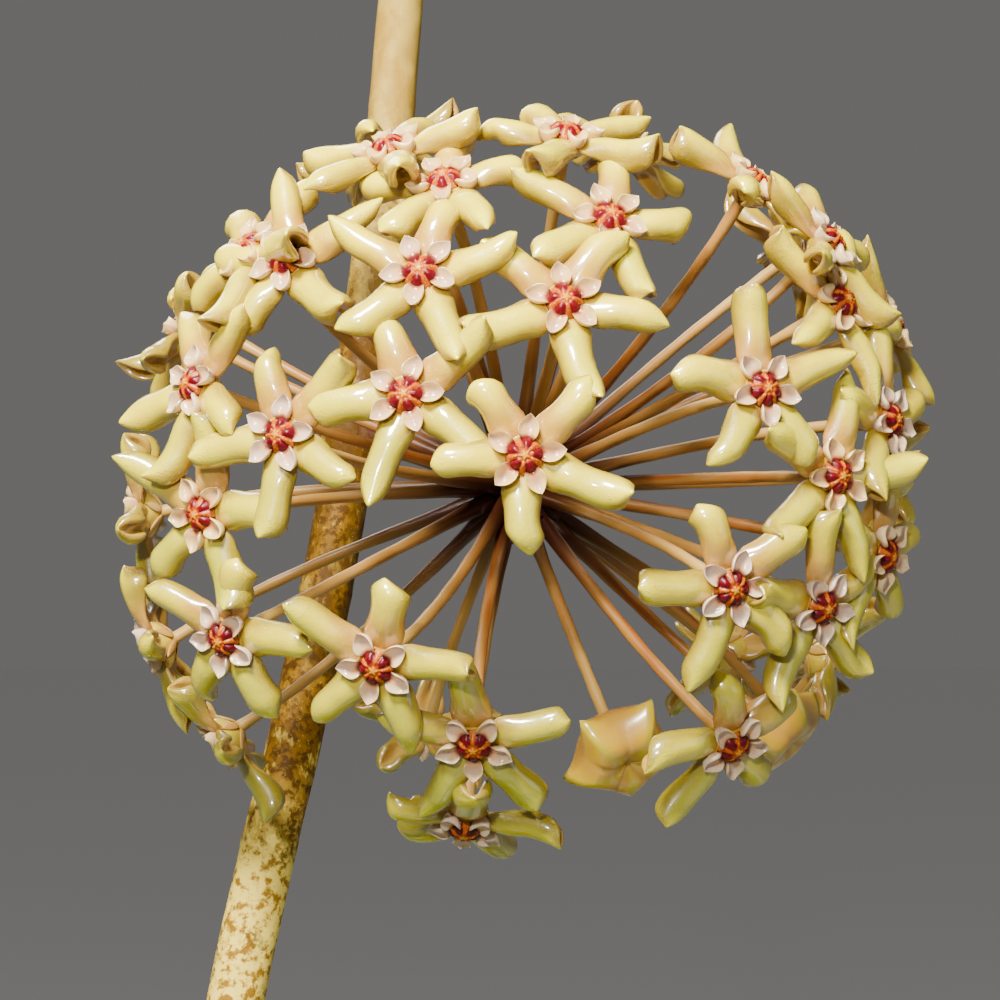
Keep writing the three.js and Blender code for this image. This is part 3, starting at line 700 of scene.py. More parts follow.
def petal_mesh(heads, width, thickness):
    """Cages of petals rolled under, with values along and across them.

    Each station along the ridge has a ring of points: an arc of a circle for the outer skin, and a
    shorter arc inside it for the lining. The arcs are broad and low at the crown, where the petals
    join, grow to nine tenths of a turn at the shoulders and open again at the snout, which each petal
    draws out by its own length. Past PETAL_BEND the ridge, and the sections with it, turn up or down by
    each petal's own hook.
    """
    radius, ridge, section, half_turn = np.array(PETAL_STATIONS, float).T
    radius, ridge = np.append(radius, PETAL_TIP[0]), np.append(ridge, PETAL_TIP[1])
    along = (radius - radius[0]) / (radius[-1] - radius[0])
    fifth = np.arange(PETALS)

    def draw(salt, low=0.0, high=1.0):
        """A number between two limits for each petal: (heads, petals, 1)."""
        return low + (high - low) * chance(heads.seeds[:, None] * salt + fifth * 3.7)[..., None]

    def past(place):
        """0 up to a distance out, then evenly up to 1 at the tip."""
        return np.clip((radius - place) / (radius[-1] - place), 0, 1)

    pitch = np.radians(PETAL_HOOK) * draw(17, -1.05, 0.95) * past(PETAL_BEND) ** 1.2
    snout = PETAL_SNOUT * draw(37) ** 2
    reach = radius + snout * past(SNOUT_START)
    stride = np.hypot(np.diff(reach), np.diff(ridge))
    slope = np.arctan2(np.diff(ridge), np.diff(reach)) + (pitch[..., 1:] + pitch[..., :-1]) / 2
    out = running(radius[0], stride * np.cos(slope))
    up = running(ridge[0], stride * np.sin(slope)) + PETAL_LIFT * draw(7, -0.5, 0.5) * along**2
    sway = PETAL_SWAY * draw(13, -0.5, 0.5) * along**2 + SNOUT_SWAY * draw(5, -0.5, 0.5) * along**6
    angle = (fifth * SECTOR)[None, :, None, None] + PETAL_SWING * draw(11, -0.5, 0.5)[..., None]

    taper = (draw(29) ** 2 * TAPER + snout * SNOUT_TAPER - 0.02)[..., None]
    swell = BELLY_GAIN * bell(radius[:-1] - BELLY[0], BELLY[1]) - bell(radius[:-1] - SHOULDER[0], SHOULDER[1])
    size = section[:, None] * width / PETAL_BASE_WIDTH * (1 + taper * swell[:, None])
    size = size * draw(19, 0.93, 1.07)[..., None]
    turn = np.radians(half_turn)[:, None] * draw(23, 0.9, 1.03)[..., None]
    outer, inner = np.linspace(-1, 1, PETAL_SKIN), np.linspace(LINING_REACH, -LINING_REACH, PETAL_LINING)
    spread = np.concatenate([outer, inner])
    lining = np.concatenate([np.zeros(PETAL_SKIN), np.ones(PETAL_LINING)])
    theta = turn * spread
    wall = thickness * draw(31, 0.55, 1.45)[..., None]
    shape = (len(section), len(spread))
    corner = np.arange(len(section) * len(spread)).reshape(shape)
    petal_seeds = heads.seeds[:, None, None, None] * 5.3 + fifth[:, None, None] * 1.9
    uneven = 1 + PETAL_UNEVENNESS * (chance(petal_seeds + corner * 0.77) - 0.5)
    ring = (size - lining * np.minimum(wall, THICKEST_WALL * size)) * uneven
    depth = (size - ring * np.cos(theta)) * PETAL_FLATNESS
    lateral = sway[..., :-1, None] - ring * np.sin(theta)
    tilt = pitch[..., :-1, None]
    ring_out = out[..., :-1, None] + np.sin(tilt) * depth
    ring_up = up[..., :-1, None] - np.cos(tilt) * depth
    rings = heads.place(ring_out, angle, ring_up, lateral).reshape(len(heads) * PETALS, -1, 3)
    tips = heads.place(out[..., -1:], angle[..., 0], up[..., -1:], sway[..., -1:]).reshape(-1, 1, 3)
    # How far each petal points up: the material turns it into painted light and shade.
    upward = (heads.place(1.0, (fifth * SECTOR)[None], 0.0) - heads.base[:, None])[..., 2]
    tone, green = tones_and_height_shade(heads)
    values = {
        "along": np.append(np.broadcast_to(along[:-1, None], shape), 1.0),
        "inside": np.append(np.broadcast_to(lining, shape), 0.0),
        "across": np.append(np.broadcast_to(np.abs(spread), shape), 0.3),
        "upward": upward.reshape(-1, 1),
        "tone": np.repeat(tone, PETALS)[:, None],
        "green": np.repeat(green, PETALS)[:, None],
    }
    return bodies(np.concatenate([rings, tips], axis=1), petal_faces(), values)


def petal_faces():
    """Rings along the petal, a tip that closes to a pole, and a root whose two skins are joined."""
    sides = PETAL_SKIN + PETAL_LINING
    rings = ring_quads(len(PETAL_STATIONS), sides)
    tip = fan((len(PETAL_STATIONS) - 1) * sides, sides, len(PETAL_STATIONS) * sides, True)
    inner = sides - 1 - np.arange(PETAL_LINING)
    outer = np.arange(PETAL_LINING) + (PETAL_SKIN - PETAL_LINING) // 2
    root = np.stack([outer[1:], outer[:-1], inner[:-1], inner[1:]], axis=1)
    ends = np.array([
        [outer[0], 0, inner[0], -1],
        [PETAL_SKIN - 1, outer[-1], inner[-1], -1],
    ])
    return np.vstack([rings, tip, root, ends])


def cup_mesh(heads):
    """The fused base of each flower: a shallow five-lobed bowl from the stalk to under the crown."""
    turn = circle(CUP_SIDES)
    radius, height = CUP_PROFILE.T[:, None, :, None]
    rings = heads.place(radius * (1 + CUP_LOBES * np.cos(PETALS * turn)), turn, height)
    poles = heads.place(0.0, 0.0, np.array([CUP_POLES]))
    tone, green = tones_and_height_shade(heads)
    plain = dict.fromkeys(("along", "inside", "across", "upward"), 0.0)
    return tubes(rings, poles, tone=tone[:, None], green=green[:, None], **plain)


def petal_material(colours):
    """Waxy cream, greener on petals that hang and pink-peach by the crown on those that stand (painted light
    and shade by the way each petal points), ochre below and at the sides (partly painted shade).
    """
    finish = Finish(
        "waxy petals",
        Coat_Roughness=0.1,
        Coat_IOR=1.85,
        Subsurface_Weight=0.15,
        Subsurface_Scale=0.0006,
        Subsurface_Radius=(1.0, 0.6, 0.15),
    )
    along, across, inside = finish.values("along", "across", "inside")
    tone, green, upward = finish.values("tone", "green", "upward")
    blotch = finish.noise(1.7, detail=3)
    fine = finish.noise(0.3, detail=2)
    glitter = finish.noise(0.14, detail=1)
    # Painted light and shade by the way each petal points: petals that hang turn greener, petals that stand
    # turn pink-peach by the crown.
    standing_shade = (upward * 0.5 + 0.5 + (blotch - 0.5) * 0.4).clamp()
    # Darker ochre, or olive on the lower flowers, towards each petal's sides: partly the sides' own deeper
    # colour, partly painted shade.
    flank_shade = (across + (blotch - 0.5) * 0.3).rise(0.12, 0.62)
    base = along.rise(0.75, 0.25)
    # Orange-brown inside the roll and at its rolled edges: partly the inside's own colour, partly painted
    # shade in the roll.
    rolled_and_shaded = (inside * 0.85).most(across.rise(0.86, 1.0) * (0.5 - green * 0.4))
    body = finish.paint(
        # Paler with tone, which on the upper flowers is partly painted light.
        finish.mix(tone * 0.6, colours.petal, colours.petal_pale),
        ((green * 0.85 + standing_shade.rise(0.45, 0.0) * 0.4).clamp(), colours.petal_green_and_shade),
        (flank_shade * 0.9, finish.mix(green, colours.petal_side, colours.petal_shade)),
        # Painted shade: pink-peach at the base of the standing petals.
        (standing_shade.rise(0.5, 0.9) * base * 0.75, colours.blush),
        (along.rise(0.3, 0.05) * (1 - green * 0.6) * 0.6, colours.blush),
        # Painted highlight: paler along the ridge near the tip.
        (along.rise(0.78, 0.95) * across.rise(0.5, 0.1) * 0.5, colours.petal_pale),
        (fine.rise(0.6, 0.8) * 0.15, colours.petal_pale),
        (rolled_and_shaded, colours.petal_inner),
    )
    frost = finish.cells(0.32).rise(0.3, 0.1) * along.rise(0.62, 0.9)
    return finish.set(
        Base_Color=body,
        Roughness=0.3 + fine * 0.16 - frost * 0.1,
        Coat_Weight=0.55 + blotch * 0.45 + frost * 0.2,
        Normal=finish.bump(blotch * 0.8 + frost * 0.3 + fine * 0.2 + glitter * 0.1, 0.15, 0.65),
    )


# Crowns

LOBE_RINGS = 13
LOBE_SIDES = 16
LOBE_FOOT = 1.0
LOBE_LIFT = 0.28
LOBE_SWING = 0.1
LOBE_SCOOP = 0.62
LOBE_STATIONS = [
    # share of the length, half of the width, height of the middle, depth of the lower skin
    (0, 0.4, 0.95, 0.2),
    (0.1, 0.54, 1.12, 0.4),
    (0.3, 0.72, 1.16, 0.62),
    (0.5, 0.74, 1.06, 0.7),
    (0.7, 0.6, 1.06, 0.6),
    (0.86, 0.36, 1.22, 0.4),
    (0.96, 0.14, 1.42, 0.16),
    (1, 0.02, 1.54, 0.03),
]
BOSS_SIDES = 50
BOSS_RADII = np.array([0.02, 0.12, 0.22, 0.32, 0.42, 0.54, 0.68, 0.82, 0.96, 1.1, 1.24, 1.36, 1.44])
BOSS_TOP = 1.78
BOSS_FALL = 0.42
# Relief of the boss: height, distance from the middle, and width as in bell().
GROOVE = (-0.16, 0.4, 0.08)
SPOKES = (0.16, 0.82, 0.34)
PADS = (0.2, 1.02, 0.32)
DIPS = (-0.2, 0.95, 0.34)
BOSS_RIM_HEIGHT = 0.85
BOSS_BASE = (1.2, 0.6)


def crown_lobe_mesh(heads, reach):
    """Crown lobes as small boats, with their radius and the distance from their keel.

    The outline widens from the boss and narrows to a point, the upper skin is scooped between raised rims,
    and the lower skin is a half ellipse.
    """
    along = np.linspace(0.0, 1.0, LOBE_RINGS)[None, None, :, None]
    turn = circle(LOBE_SIDES)
    fifth = np.arange(PETALS)
    seeds = heads.seeds[:, None]
    lift = (LOBE_LIFT * (chance(seeds * 17 + fifth) - 0.5))[..., None, None]
    swing = LOBE_SWING * (chance(seeds * 19 + fifth) - 0.5)
    angle = ((fifth + 0.5) * SECTOR + swing)[..., None, None]
    radius = LOBE_FOOT + (reach - LOBE_FOOT) * along
    stations, *curves = np.array(LOBE_STATIONS).T
    half, middle, deep = (smooth(stations, curve, along) for curve in curves)
    middle = middle + lift * along
    side = np.cos(turn)
    scoop = LOBE_SCOOP * np.sin(math.pi * along**0.9) * np.abs(side) ** 2.6
    upper = np.sin(turn) >= -1e-9
    height = np.where(upper, middle + scoop, middle + scoop * side**2 + deep * np.sin(turn))
    rings = heads.place(radius, angle, height, half * side)
    inner_end = LOBE_FOOT - 0.02
    poles = heads.place(np.array([inner_end, reach + 0.03]), angle[..., 0], middle[:, :, [0, -1], 0])
    tone = np.repeat(tones_and_height_shade(heads)[0], PETALS)[:, None]
    radius = (radius[0, 0], inner_end, reach)
    return tubes(rings, poles, radius=radius, edge=(np.abs(side), 0.0, 0.0), bearing=0.0, tone=tone)


def boss_mesh(heads):
    """The crown's middle: a dome with five points, a ring groove and spokes over the petals.

    Height is a function of radius and of the angle from the nearest petal's axis. Below the rim the
    solid runs down to a flat base. Its rings go from the base over the rim to the top.
    """
    turn = circle(BOSS_SIDES)
    star = np.cos(PETALS * turn)
    radii = BOSS_RADII[:, None]

    def relief(part, along=radii):
        height, place, width = part
        return height * bell(along - place, width)

    top = BOSS_TOP - BOSS_FALL * radii**2 + relief(GROOVE, radii - 0.06 * star)
    top += relief(SPOKES) * np.clip(star, 0, 1) ** 1.5 + relief(PADS) * np.clip(0.2 - star, 0, 1)
    top += relief(DIPS) * bell(star - 0.25, 0.28)
    top[-1] = BOSS_RIM_HEIGHT
    base_radius, base_height = BOSS_BASE
    height = np.vstack([top, np.full((1, BOSS_SIDES), base_height)])[::-1]
    radius = np.append(BOSS_RADII, base_radius)[::-1, None]
    rings = heads.place(radius, turn, height[None])
    poles = heads.place(0.0, 0.0, np.array([[base_height, BOSS_TOP]]))
    radius = (radius, base_radius, 0.0)
    bearing = (2 * np.abs((turn / SECTOR + 0.5) % 1.0 - 0.5), 0.0, 0.0)
    return tubes(rings, poles, radius=radius, edge=0.0, bearing=bearing, tone=tones_and_height_shade(heads)[0][:, None])


def crown_material(colours):
    """Pinkish lobes with paler rims and painted shade in their hollows, painted glints on the lower flowers'
    lobes, crimson between the lobes' feet, orange spokes and a pale star.
    """
    finish = Finish(
        "flower crowns",
        Coat_Roughness=0.12,
        Specular_IOR_Level=0.2,
        Subsurface_Weight=0.1,
        Subsurface_Scale=0.0006,
        Subsurface_Radius=(1.0, 0.6, 0.5),
    )
    radius, edge, bearing, tone = finish.values("radius", "edge", "bearing", "tone")
    speck = finish.noise(0.16, detail=3, roughness=0.65)
    soft = finish.noise(0.7, detail=2)
    fringe = (speck - 0.5) * 0.5
    # Lower flowers by tone, which is partly painted shade from above: they get lilac grey lobes and painted
    # glints, and the upper flowers a brighter red as painted light.
    low = tone.rise(0.75, 0.25)
    red = finish.mix(tone, colours.crimson, colours.crimson_warm)
    lobe = finish.paint(
        finish.mix(soft.rise(0.3, 0.7), colours.crown, colours.crown_pale),
        # Painted shade: greyish pink in the lobes' hollows.
        (edge.rise(0.7, 0.1) * (0.6 + soft * 0.5), colours.crown_hollow_shade),
        (edge.rise(0.6, 0.9) * 0.6, colours.crown_pale),
        (speck.rise(0.55, 0.75) * 0.3, colours.crown_pale),
        (low * 0.7, colours.crown_cool),
        # Painted glints: pale sparkle dots on the lower flowers' lobes.
        (finish.cells(0.2).rise(0.24, 0.1) * low * 0.5, colours.crown_glint_dot),
        ((radius + fringe * 0.5).rise(2.15, 1.5) * edge.rise(1.0, 0.4) * 0.6, colours.crown_rim),
        ((radius + edge * 0.25 + fringe * 0.5).rise(1.75, 1.36) * 0.9, red),
    )
    star = (bearing * math.pi).cosine()
    pads = (bearing + fringe).rise(0.24, 0.42) * (radius + fringe * 0.5).rise(0.42, 0.66)
    dots = finish.cells(0.2).rise(0.36, 0.2) * (bearing + fringe).rise(0.5, 0.25) * radius.rise(0.3, 0.5)
    boss = finish.paint(
        finish.mix((radius - star * 0.09 + fringe * 0.2).rise(0.2, 0.3), colours.star, colours.spoke),
        (radius.rise(1.15, 1.42) * 0.4, colours.blush),
        (pads, red),
        (dots * 0.8, colours.star),
    )
    on_lobe = edge.rise(0.0, 0.001).most(radius.rise(1.45, 1.48))
    glint = finish.cells(0.13).rise(0.35, 0.1)
    return finish.set(
        Base_Color=finish.mix(on_lobe, boss, lobe),
        Roughness=0.32 - glint * 0.2,
        Coat_Weight=0.06 + (0.5 + glint * 0.4) * on_lobe,
        Normal=finish.bump(speck * 0.5 + soft * 0.5, 0.05, 0.7),
    )


# Flower stalks

STALK_RINGS = 34
STALK_SIDES = 12
STALK_START = 0.03
STALK_LUMPS = (0.04, 40)
FLOWER_NECK = -0.9
BUD_NECK = -2.6
STALK_GIRTH = ([0, 0.12, 0.25, 0.5, 0.9, 0.97, 1], [1.7, 1.4, 1.12, 1.02, 1.04, 1.12, 1.25])
SEPAL_RINGS = 7
SEPAL_REACH = (0.5, 1.55)
SEPAL_HEIGHT = (-1.12, 0.98)
SEPAL_HALF_WIDTH = 0.42
SEPAL_THICKNESS = 0.12
SEPAL_ENDS = np.array([(0.45, -1.1), (2.1, -0.12)])
SEPAL_SIDES = 8


def stalk_mesh(heads, neck, thickness):
    """Round stalks from the knob to each neck, widened to a small cone under the flower."""
    centres = stalk_paths(heads, neck)
    tangents = unit(np.gradient(centres, axis=1))
    guide = heads.across[:, None]
    across = unit(guide - tangents * (guide * tangents).sum(-1, keepdims=True))
    along = np.linspace(0, 1, STALK_RINGS)
    girth = smooth(*STALK_GIRTH, along) * thickness / 2
    lumps = 1 + STALK_LUMPS[0] * np.sin(along * STALK_LUMPS[1] + heads.seeds[:, None])
    turn = circle(STALK_SIDES)
    return tubes(
        *around(centres, across, np.cross(tangents, across), (girth * lumps)[..., None], STALK_SIDES),
        along=(along[:, None], 0.0, 1.0),
        east=(np.cos(turn), 0.0, 0.0),
        north=(np.sin(turn), 0.0, 0.0),
        tone=chance(heads.seeds * 37)[:, None],
    )


def sepal_mesh(heads):
    """Five small sepals under each flower, pressed to the cup: lens-shaped leaves with a pointed tip."""
    along = np.linspace(0, 1, SEPAL_RINGS)[None, None, :, None]
    turn = circle(SEPAL_SIDES)
    angle = ((np.arange(PETALS) + 0.5) * SECTOR)[None, :, None, None]
    radius = SEPAL_REACH[0] + SEPAL_REACH[1] * along
    height = SEPAL_HEIGHT[0] + SEPAL_HEIGHT[1] * along**1.3
    half = SEPAL_HALF_WIDTH * np.sin(math.pi * (0.18 + 0.82 * along)) ** 0.8 + 0.02
    rings = heads.place(radius, angle, height + SEPAL_THICKNESS * np.sin(turn), half * np.cos(turn))
    poles = heads.place(SEPAL_ENDS[:, 0], angle[..., 0], SEPAL_ENDS[:, 1])
    tone = chance(np.arange(len(heads) * PETALS) * 41)[:, None]
    return tubes(rings, poles, along=0.85, east=0.5, north=0.5, tone=tone)


def stalk_material(colours):
    """Tan stalks, some warmer, streaked lengthwise with a painted lilac sheen, that darken towards the knob:
    partly their own red-brown, partly painted shade of the crowded middle.
    """
    finish = Finish("flower stalks", Coat_Roughness=0.3, Specular_IOR_Level=0.35)
    along, tone, east, north = finish.values("along", "tone", "east", "north")
    streak = finish.noise(1.0, detail=4, at=finish.vector(east, north, along * 4 + tone * 60))
    fibre = finish.noise(0.3, detail=3, at=finish.vector(east, north, along * 5))
    body = finish.paint(
        finish.mix(tone.rise(0.45, 0.75), colours.stalk, colours.stalk_warm),
        (streak.rise(0.35, 0.65) * 0.5, colours.stalk_pale),
        (along.rise(0.42, 0.9) * (1 - tone * 0.5) * 0.75, colours.stalk_pale),
        # Darker towards the knob: partly the stalks' own red-brown, partly painted shade of the crowded
        # middle.
        (along.rise(0.42, 0.1) * 0.95, colours.stalk_dark),
        # Painted reflection: greyish lilac sheen streaks.
        (streak.rise(0.6, 0.75) * 0.35, colours.stalk_sheen),
    )
    return finish.set(
        Base_Color=body,
        Roughness=0.34 + fibre * 0.22,
        Coat_Weight=0.1 + streak * 0.15,
        Normal=finish.bump(fibre * 0.6 + streak * 0.4, 0.06, 0.5),
    )


# Buds

BUD_RINGS = 34
BUD_SIDES = 60
BUD_STATIONS = [
    # share of the way from the stalk, height, radius at the corners, radius between them
    (0, -2.7, 0.5, 0.5),
    (0.08, -2.45, 1.3, 1.25),
    (0.2, -1.9, 2.7, 2.5),
    (0.36, -1.0, 3.95, 3.4),
    (0.52, 0.0, 5.0, 3.4),
    (0.66, 0.95, 4.2, 2.9),
    (0.8, 1.5, 2.6, 2.1),
    (0.92, 1.35, 1.1, 1.0),
    (1, 0.8, 0.05, 0.05),
]
BUD_TALLER = 1.25
BUD_DROOP = 0.7
BUD_CREASE = 0.16
BUD_POLES = (-3.4, 0.99)


def bud_mesh(heads):
    """Closed buds: five-cornered cushions, hollow * (keel / hollow) ** p at each ring.

    p is log(cos a) / log(cos 36 degrees), where a is the angle from the nearest hollow: it draws sides
    that are straight or a little hollow between sharp corners. The corners droop, and creases run in to
    the tip.
    """
    along = np.linspace(0, 1, BUD_RINGS)[:, None]
    turn = circle(BUD_SIDES)
    stations, *curves = np.array(BUD_STATIONS).T
    height, keel, hollow = (smooth(stations, curve, along) for curve in curves)
    aside = np.abs((turn / SECTOR) % 1.0 - 0.5) * SECTOR
    ridge = np.log(np.cos(aside)) / math.log(math.cos(SECTOR / 2))
    droop = BUD_DROOP * ridge * bell(along - 0.55, 0.16)
    crease = BUD_CREASE * bell(aside, 0.09) * bell(along - 0.8, 0.16)
    top = (BUD_TALLER * height - droop - crease)[None]
    rings = heads.place(hollow * (keel / hollow) ** ridge, turn, top)
    poles = heads.place(0.0, 0.0, np.array([BUD_POLES]))
    return tubes(rings, poles, along=(along, 0.0, 1.0), ridge=(ridge, 0.5, 0.5))


def bud_material(colours):
    """Ochre and cream, with blush on the stalk's side and greener corners."""
    finish = Finish(
        "closed buds",
        Roughness=0.3,
        Coat_Roughness=0.12,
        Coat_IOR=1.7,
        Subsurface_Weight=0.35,
        Subsurface_Scale=0.0015,
        Subsurface_Radius=(1.0, 0.6, 0.4),
    )
    along, ridge = finish.values("along", "ridge")
    blotch = finish.noise(2.2, detail=3)
    body = finish.paint(
        finish.mix((ridge * 0.4 + blotch * 0.5 - 0.15).clamp(), colours.bud, colours.petal),
        (along.rise(0.62, 0.2) * (0.35 + blotch * 0.4), colours.blush),
        (ridge.rise(0.25, 0.0) * 0.4, colours.petal_inner),
        (ridge.rise(0.45, 0.95) * 0.5, colours.petal_green_and_shade),
    )
    return finish.set(
        Base_Color=body, Coat_Weight=0.5 + blotch * 0.2, Normal=finish.bump(blotch, 0.1, 0.5)
    )


# Stems


def stem_radius(name, distance, length):
    """Radius along a stem: straight tapers between foot, middle and tip, swollen at each joint."""
    plain = np.interp(distance / length, [0, 0.5, 1], STEMS[name][1])
    joints = {leaf[1] for leaf in LEAVES if leaf[0] == name}
    if name == OLD_STEM:
        joints.add(PEDUNCLE_PLACE)
    nearest = np.min([np.abs(distance - joint) for joint in joints], axis=0)
    return plain * (1 + (NODE_SWELL - 1) * np.maximum(0, 1 - (nearest / NODE_HALF_LENGTH) ** 2))


def stem_at(name, place):
    """Point, direction and radius of a stem at a distance along it."""
    path, distance = through(STEMS[name][0], STEM_SAMPLES)
    here = np.searchsorted(distance, place)
    return path[here], unit(path[here + 1] - path[here - 1]), stem_radius(name, place, distance[-1])


def stem_mesh(name, sides):
    """A stem as one tube: its smooth route, with lumps of bark and rings where leaves have fallen."""
    path, distance = through(STEMS[name][0], STEM_RINGS)
    length = distance[-1]
    plain = stem_radius(name, distance, length) * np.sqrt(np.clip((length - distance) / 2.0 + 0.02, 0, 1))
    scars = 1 + SCAR_HEIGHT * bell((distance + 9) % SCAR_SPACING - 11, SCAR_WIDTH)
    turn, far = circle(sides), distance[:, None]
    lumps = sum(size * np.sin(turn * waves + far * pitch) for size, waves, pitch in BARK_WAVES)
    radius = (plain * scars)[None, :, None] + lumps
    return tubes(*around(*framed(path, -VIEW_AXIS), radius, sides), distance=(far, 0.0, length))


# Where the old stem's bark changes, from and to distances along it in millimetres.
GOLDEN_START = (204.0, 219.0)
GOLDEN_END = (278.0, 258.0)
# Past this the golden stretch turns mostly brown: painted shadow of the umbel.
UMBEL_SHADE_START = (215.0, 225.0)
TAN_START = (258.0, 280.0)
GREEN_START = (330.0, 400.0)


def old_bark_material(colours):
    """Bark in three stretches: cream with brown marks, golden with cream flecks, and smooth tan above. Behind
    the umbel the golden stretch turns darker, partly as painted shadow of the umbel.
    """
    finish = Finish("speckled bark", Specular_IOR_Level=0.12)
    distance = finish.value("distance")
    here = finish.place((1.0, 1.0, 0.55))
    along = distance + (finish.noise(6.0, detail=3) - 0.5) * 20
    middle = along.rise(*GOLDEN_START) * along.rise(*GOLDEN_END)
    # deep marks the stretch that carries the painted shadow of the umbel.
    deep = along.rise(*UMBEL_SHADE_START)
    upper = along.rise(*TAN_START)
    cloud = finish.noise(3.0, detail=4, roughness=0.6, at=here)
    patch = finish.noise(2.4, detail=4, roughness=0.7, at=here)
    mottle = finish.noise(0.9, detail=4, roughness=0.65)
    fleck = finish.noise(0.42, detail=3, roughness=0.7)
    marks = finish.cells(3.4, at=finish.place((1.0, 1.0, 0.4))).rise(0.2, 0.1)
    specks = finish.cells(1.1).rise(0.26, 0.14) * cloud.rise(0.42, 0.58)
    low = finish.paint(
        finish.mix(mottle.rise(0.46, 0.62), colours.bark_pale, colours.bark_gold),
        (cloud.rise(0.5, 0.62) * fleck.rise(0.42, 0.56) * 0.85, colours.bark_brown),
        (marks.most(specks) * 0.8, colours.bark_speck),
    )
    golden = finish.paint(
        finish.mix(mottle.rise(0.42, 0.6), colours.bark_gold, colours.bark_brown),
        # Painted shadow of the umbel: mostly brown, with fewer pale patches.
        (deep * cloud.rise(0.66, 0.44) * 0.9, colours.bark_brown),
        (patch.rise(0.54, 0.64) * (0.9 - deep * 0.75), colours.bark_pale),
        (fleck.rise(0.62, 0.74) * (0.5 - deep * 0.2), colours.bark_pale),
        (specks * 0.6, colours.bark_speck),
    )
    tan = finish.paint(
        finish.mix(cloud.rise(0.42, 0.6), colours.bark_tan, colours.bark),
        (finish.noise(7.0, detail=2).rise(0.5, 0.66) * 0.4, colours.bark_brown),
        (fleck.rise(0.62, 0.75) * 0.3, colours.bark_pale),
    )
    green = distance.rise(*GREEN_START) * 0.75
    height = fleck * 0.4 + mottle * 0.4 - marks * 0.5 + cloud * 0.3
    return finish.set(
        Base_Color=finish.paint(low, (middle, golden), (upper, tan), (green, colours.young_stem)),
        Roughness=0.4 + mottle * 0.3,
        Normal=finish.bump(height, 0.2, 0.75 - upper * 0.45),
    )


def young_bark_material(colours):
    """Green stems with brown patches and pale dots, woody at the foot."""
    finish = Finish("green stem", Coat_Roughness=0.3, Coat_Weight=0.2)
    patches = finish.noise(7.0, detail=4)
    grain = finish.noise(0.6, detail=4)
    dots = finish.cells(1.3).rise(0.3, 0.16)
    body = finish.paint(
        finish.mix(finish.value("distance").rise(150.0, 40.0), colours.young_stem, colours.bark),
        (patches.rise(0.45, 0.65) * 0.5, colours.bark_brown),
        (dots * 0.5, colours.bark_pale),
    )
    return finish.set(
        Base_Color=body, Roughness=0.4 + grain * 0.25, Normal=finish.bump(grain + dots * 0.5, 0.12, 0.7)
    )


# The umbel's own stem and its knob

PEDUNCLE_RADIUS = 1.5
PEDUNCLE_RINGS = 60
PEDUNCLE_SIDES = 20
RACHIS_RADIUS = 3.1
RACHIS_RINGS = 26
RACHIS_SIDES = 44


def peduncle_mesh():
    """The umbel's stem, from the main stem round to the umbel's centre along a quadratic curve."""
    joint, _, radius = stem_at(OLD_STEM, PEDUNCLE_PLACE)
    foot = joint + unit(UMBEL_CENTRE - joint) * radius * 0.8
    share = np.linspace(0, 1, PEDUNCLE_RINGS)[:, None]
    centres = bend_curve(foot, UMBEL_CENTRE + PEDUNCLE_BEND, UMBEL_CENTRE, share)
    girth = PEDUNCLE_RADIUS * (1.25 - 0.25 * np.minimum(1, share * 4)) * (1 + 0.03 * np.sin(share * 50))
    return tubes(*around(*framed(centres, UP), girth[None], PEDUNCLE_SIDES), knob=0.0)


def rachis_mesh():
    """The knob that bears the flower stalks: a sphere roughened by the scars of fallen ones."""
    polar = np.linspace(0.04, math.pi - 0.04, RACHIS_RINGS)[:, None]
    turn = circle(RACHIS_SIDES)
    bumps = 0.12 * np.sin(9 * turn + 3 * polar) * np.sin(8 * polar) + 0.1 * np.sin(5 * turn - 7 * polar)
    radius = RACHIS_RADIUS * (0.93 + 0.6 * bumps * np.sin(polar))
    rings = UMBEL_CENTRE + upright(radius * np.sin(polar), turn, -radius * np.cos(polar))
    poles = UMBEL_CENTRE + np.array([-UP, UP]) * RACHIS_RADIUS * 0.93
    return tubes(rings, poles, knob=1.0)


# The dark stubs fill the middle of the umbel partly as painted shade among the crowded stalks.
STUBS = 170
STUB_RINGS = 5
STUB_SIDES = 6
STUB_FOOT = 2.0
GOLDEN_ANGLE = math.pi * (3 - math.sqrt(5))


def stub_mesh():
    """Stubs of fallen flower stalks all over the knob: thin cones on directions of a sunflower spiral."""
    seeds = np.arange(STUBS)
    rise = 1 - (2 * seeds + 1) / STUBS
    outward = upright(np.sqrt(1 - rise**2), seeds * GOLDEN_ANGLE, rise)
    across = unit(np.cross(outward, outward[:, [1, 2, 0]] + 0.3))
    lean = across * (chance(seeds * 3 + 5) - 0.5)[:, None] * 1.6
    far = RACHIS_RADIUS + 0.6 + 2.0 * chance(seeds * 7 + 2)[:, None, None] ** 2
    along = np.linspace(0, 1, STUB_RINGS)[:, None]
    reach = outward[:, None] * (STUB_FOOT + (far - STUB_FOOT) * along)
    centres = UMBEL_CENTRE + reach + lean[:, None] * along**2
    frames = (centres, across[:, None], np.cross(outward, across)[:, None])
    return tubes(*around(*frames, (0.5 - 0.28 * along)[None], STUB_SIDES), knob=1.0)


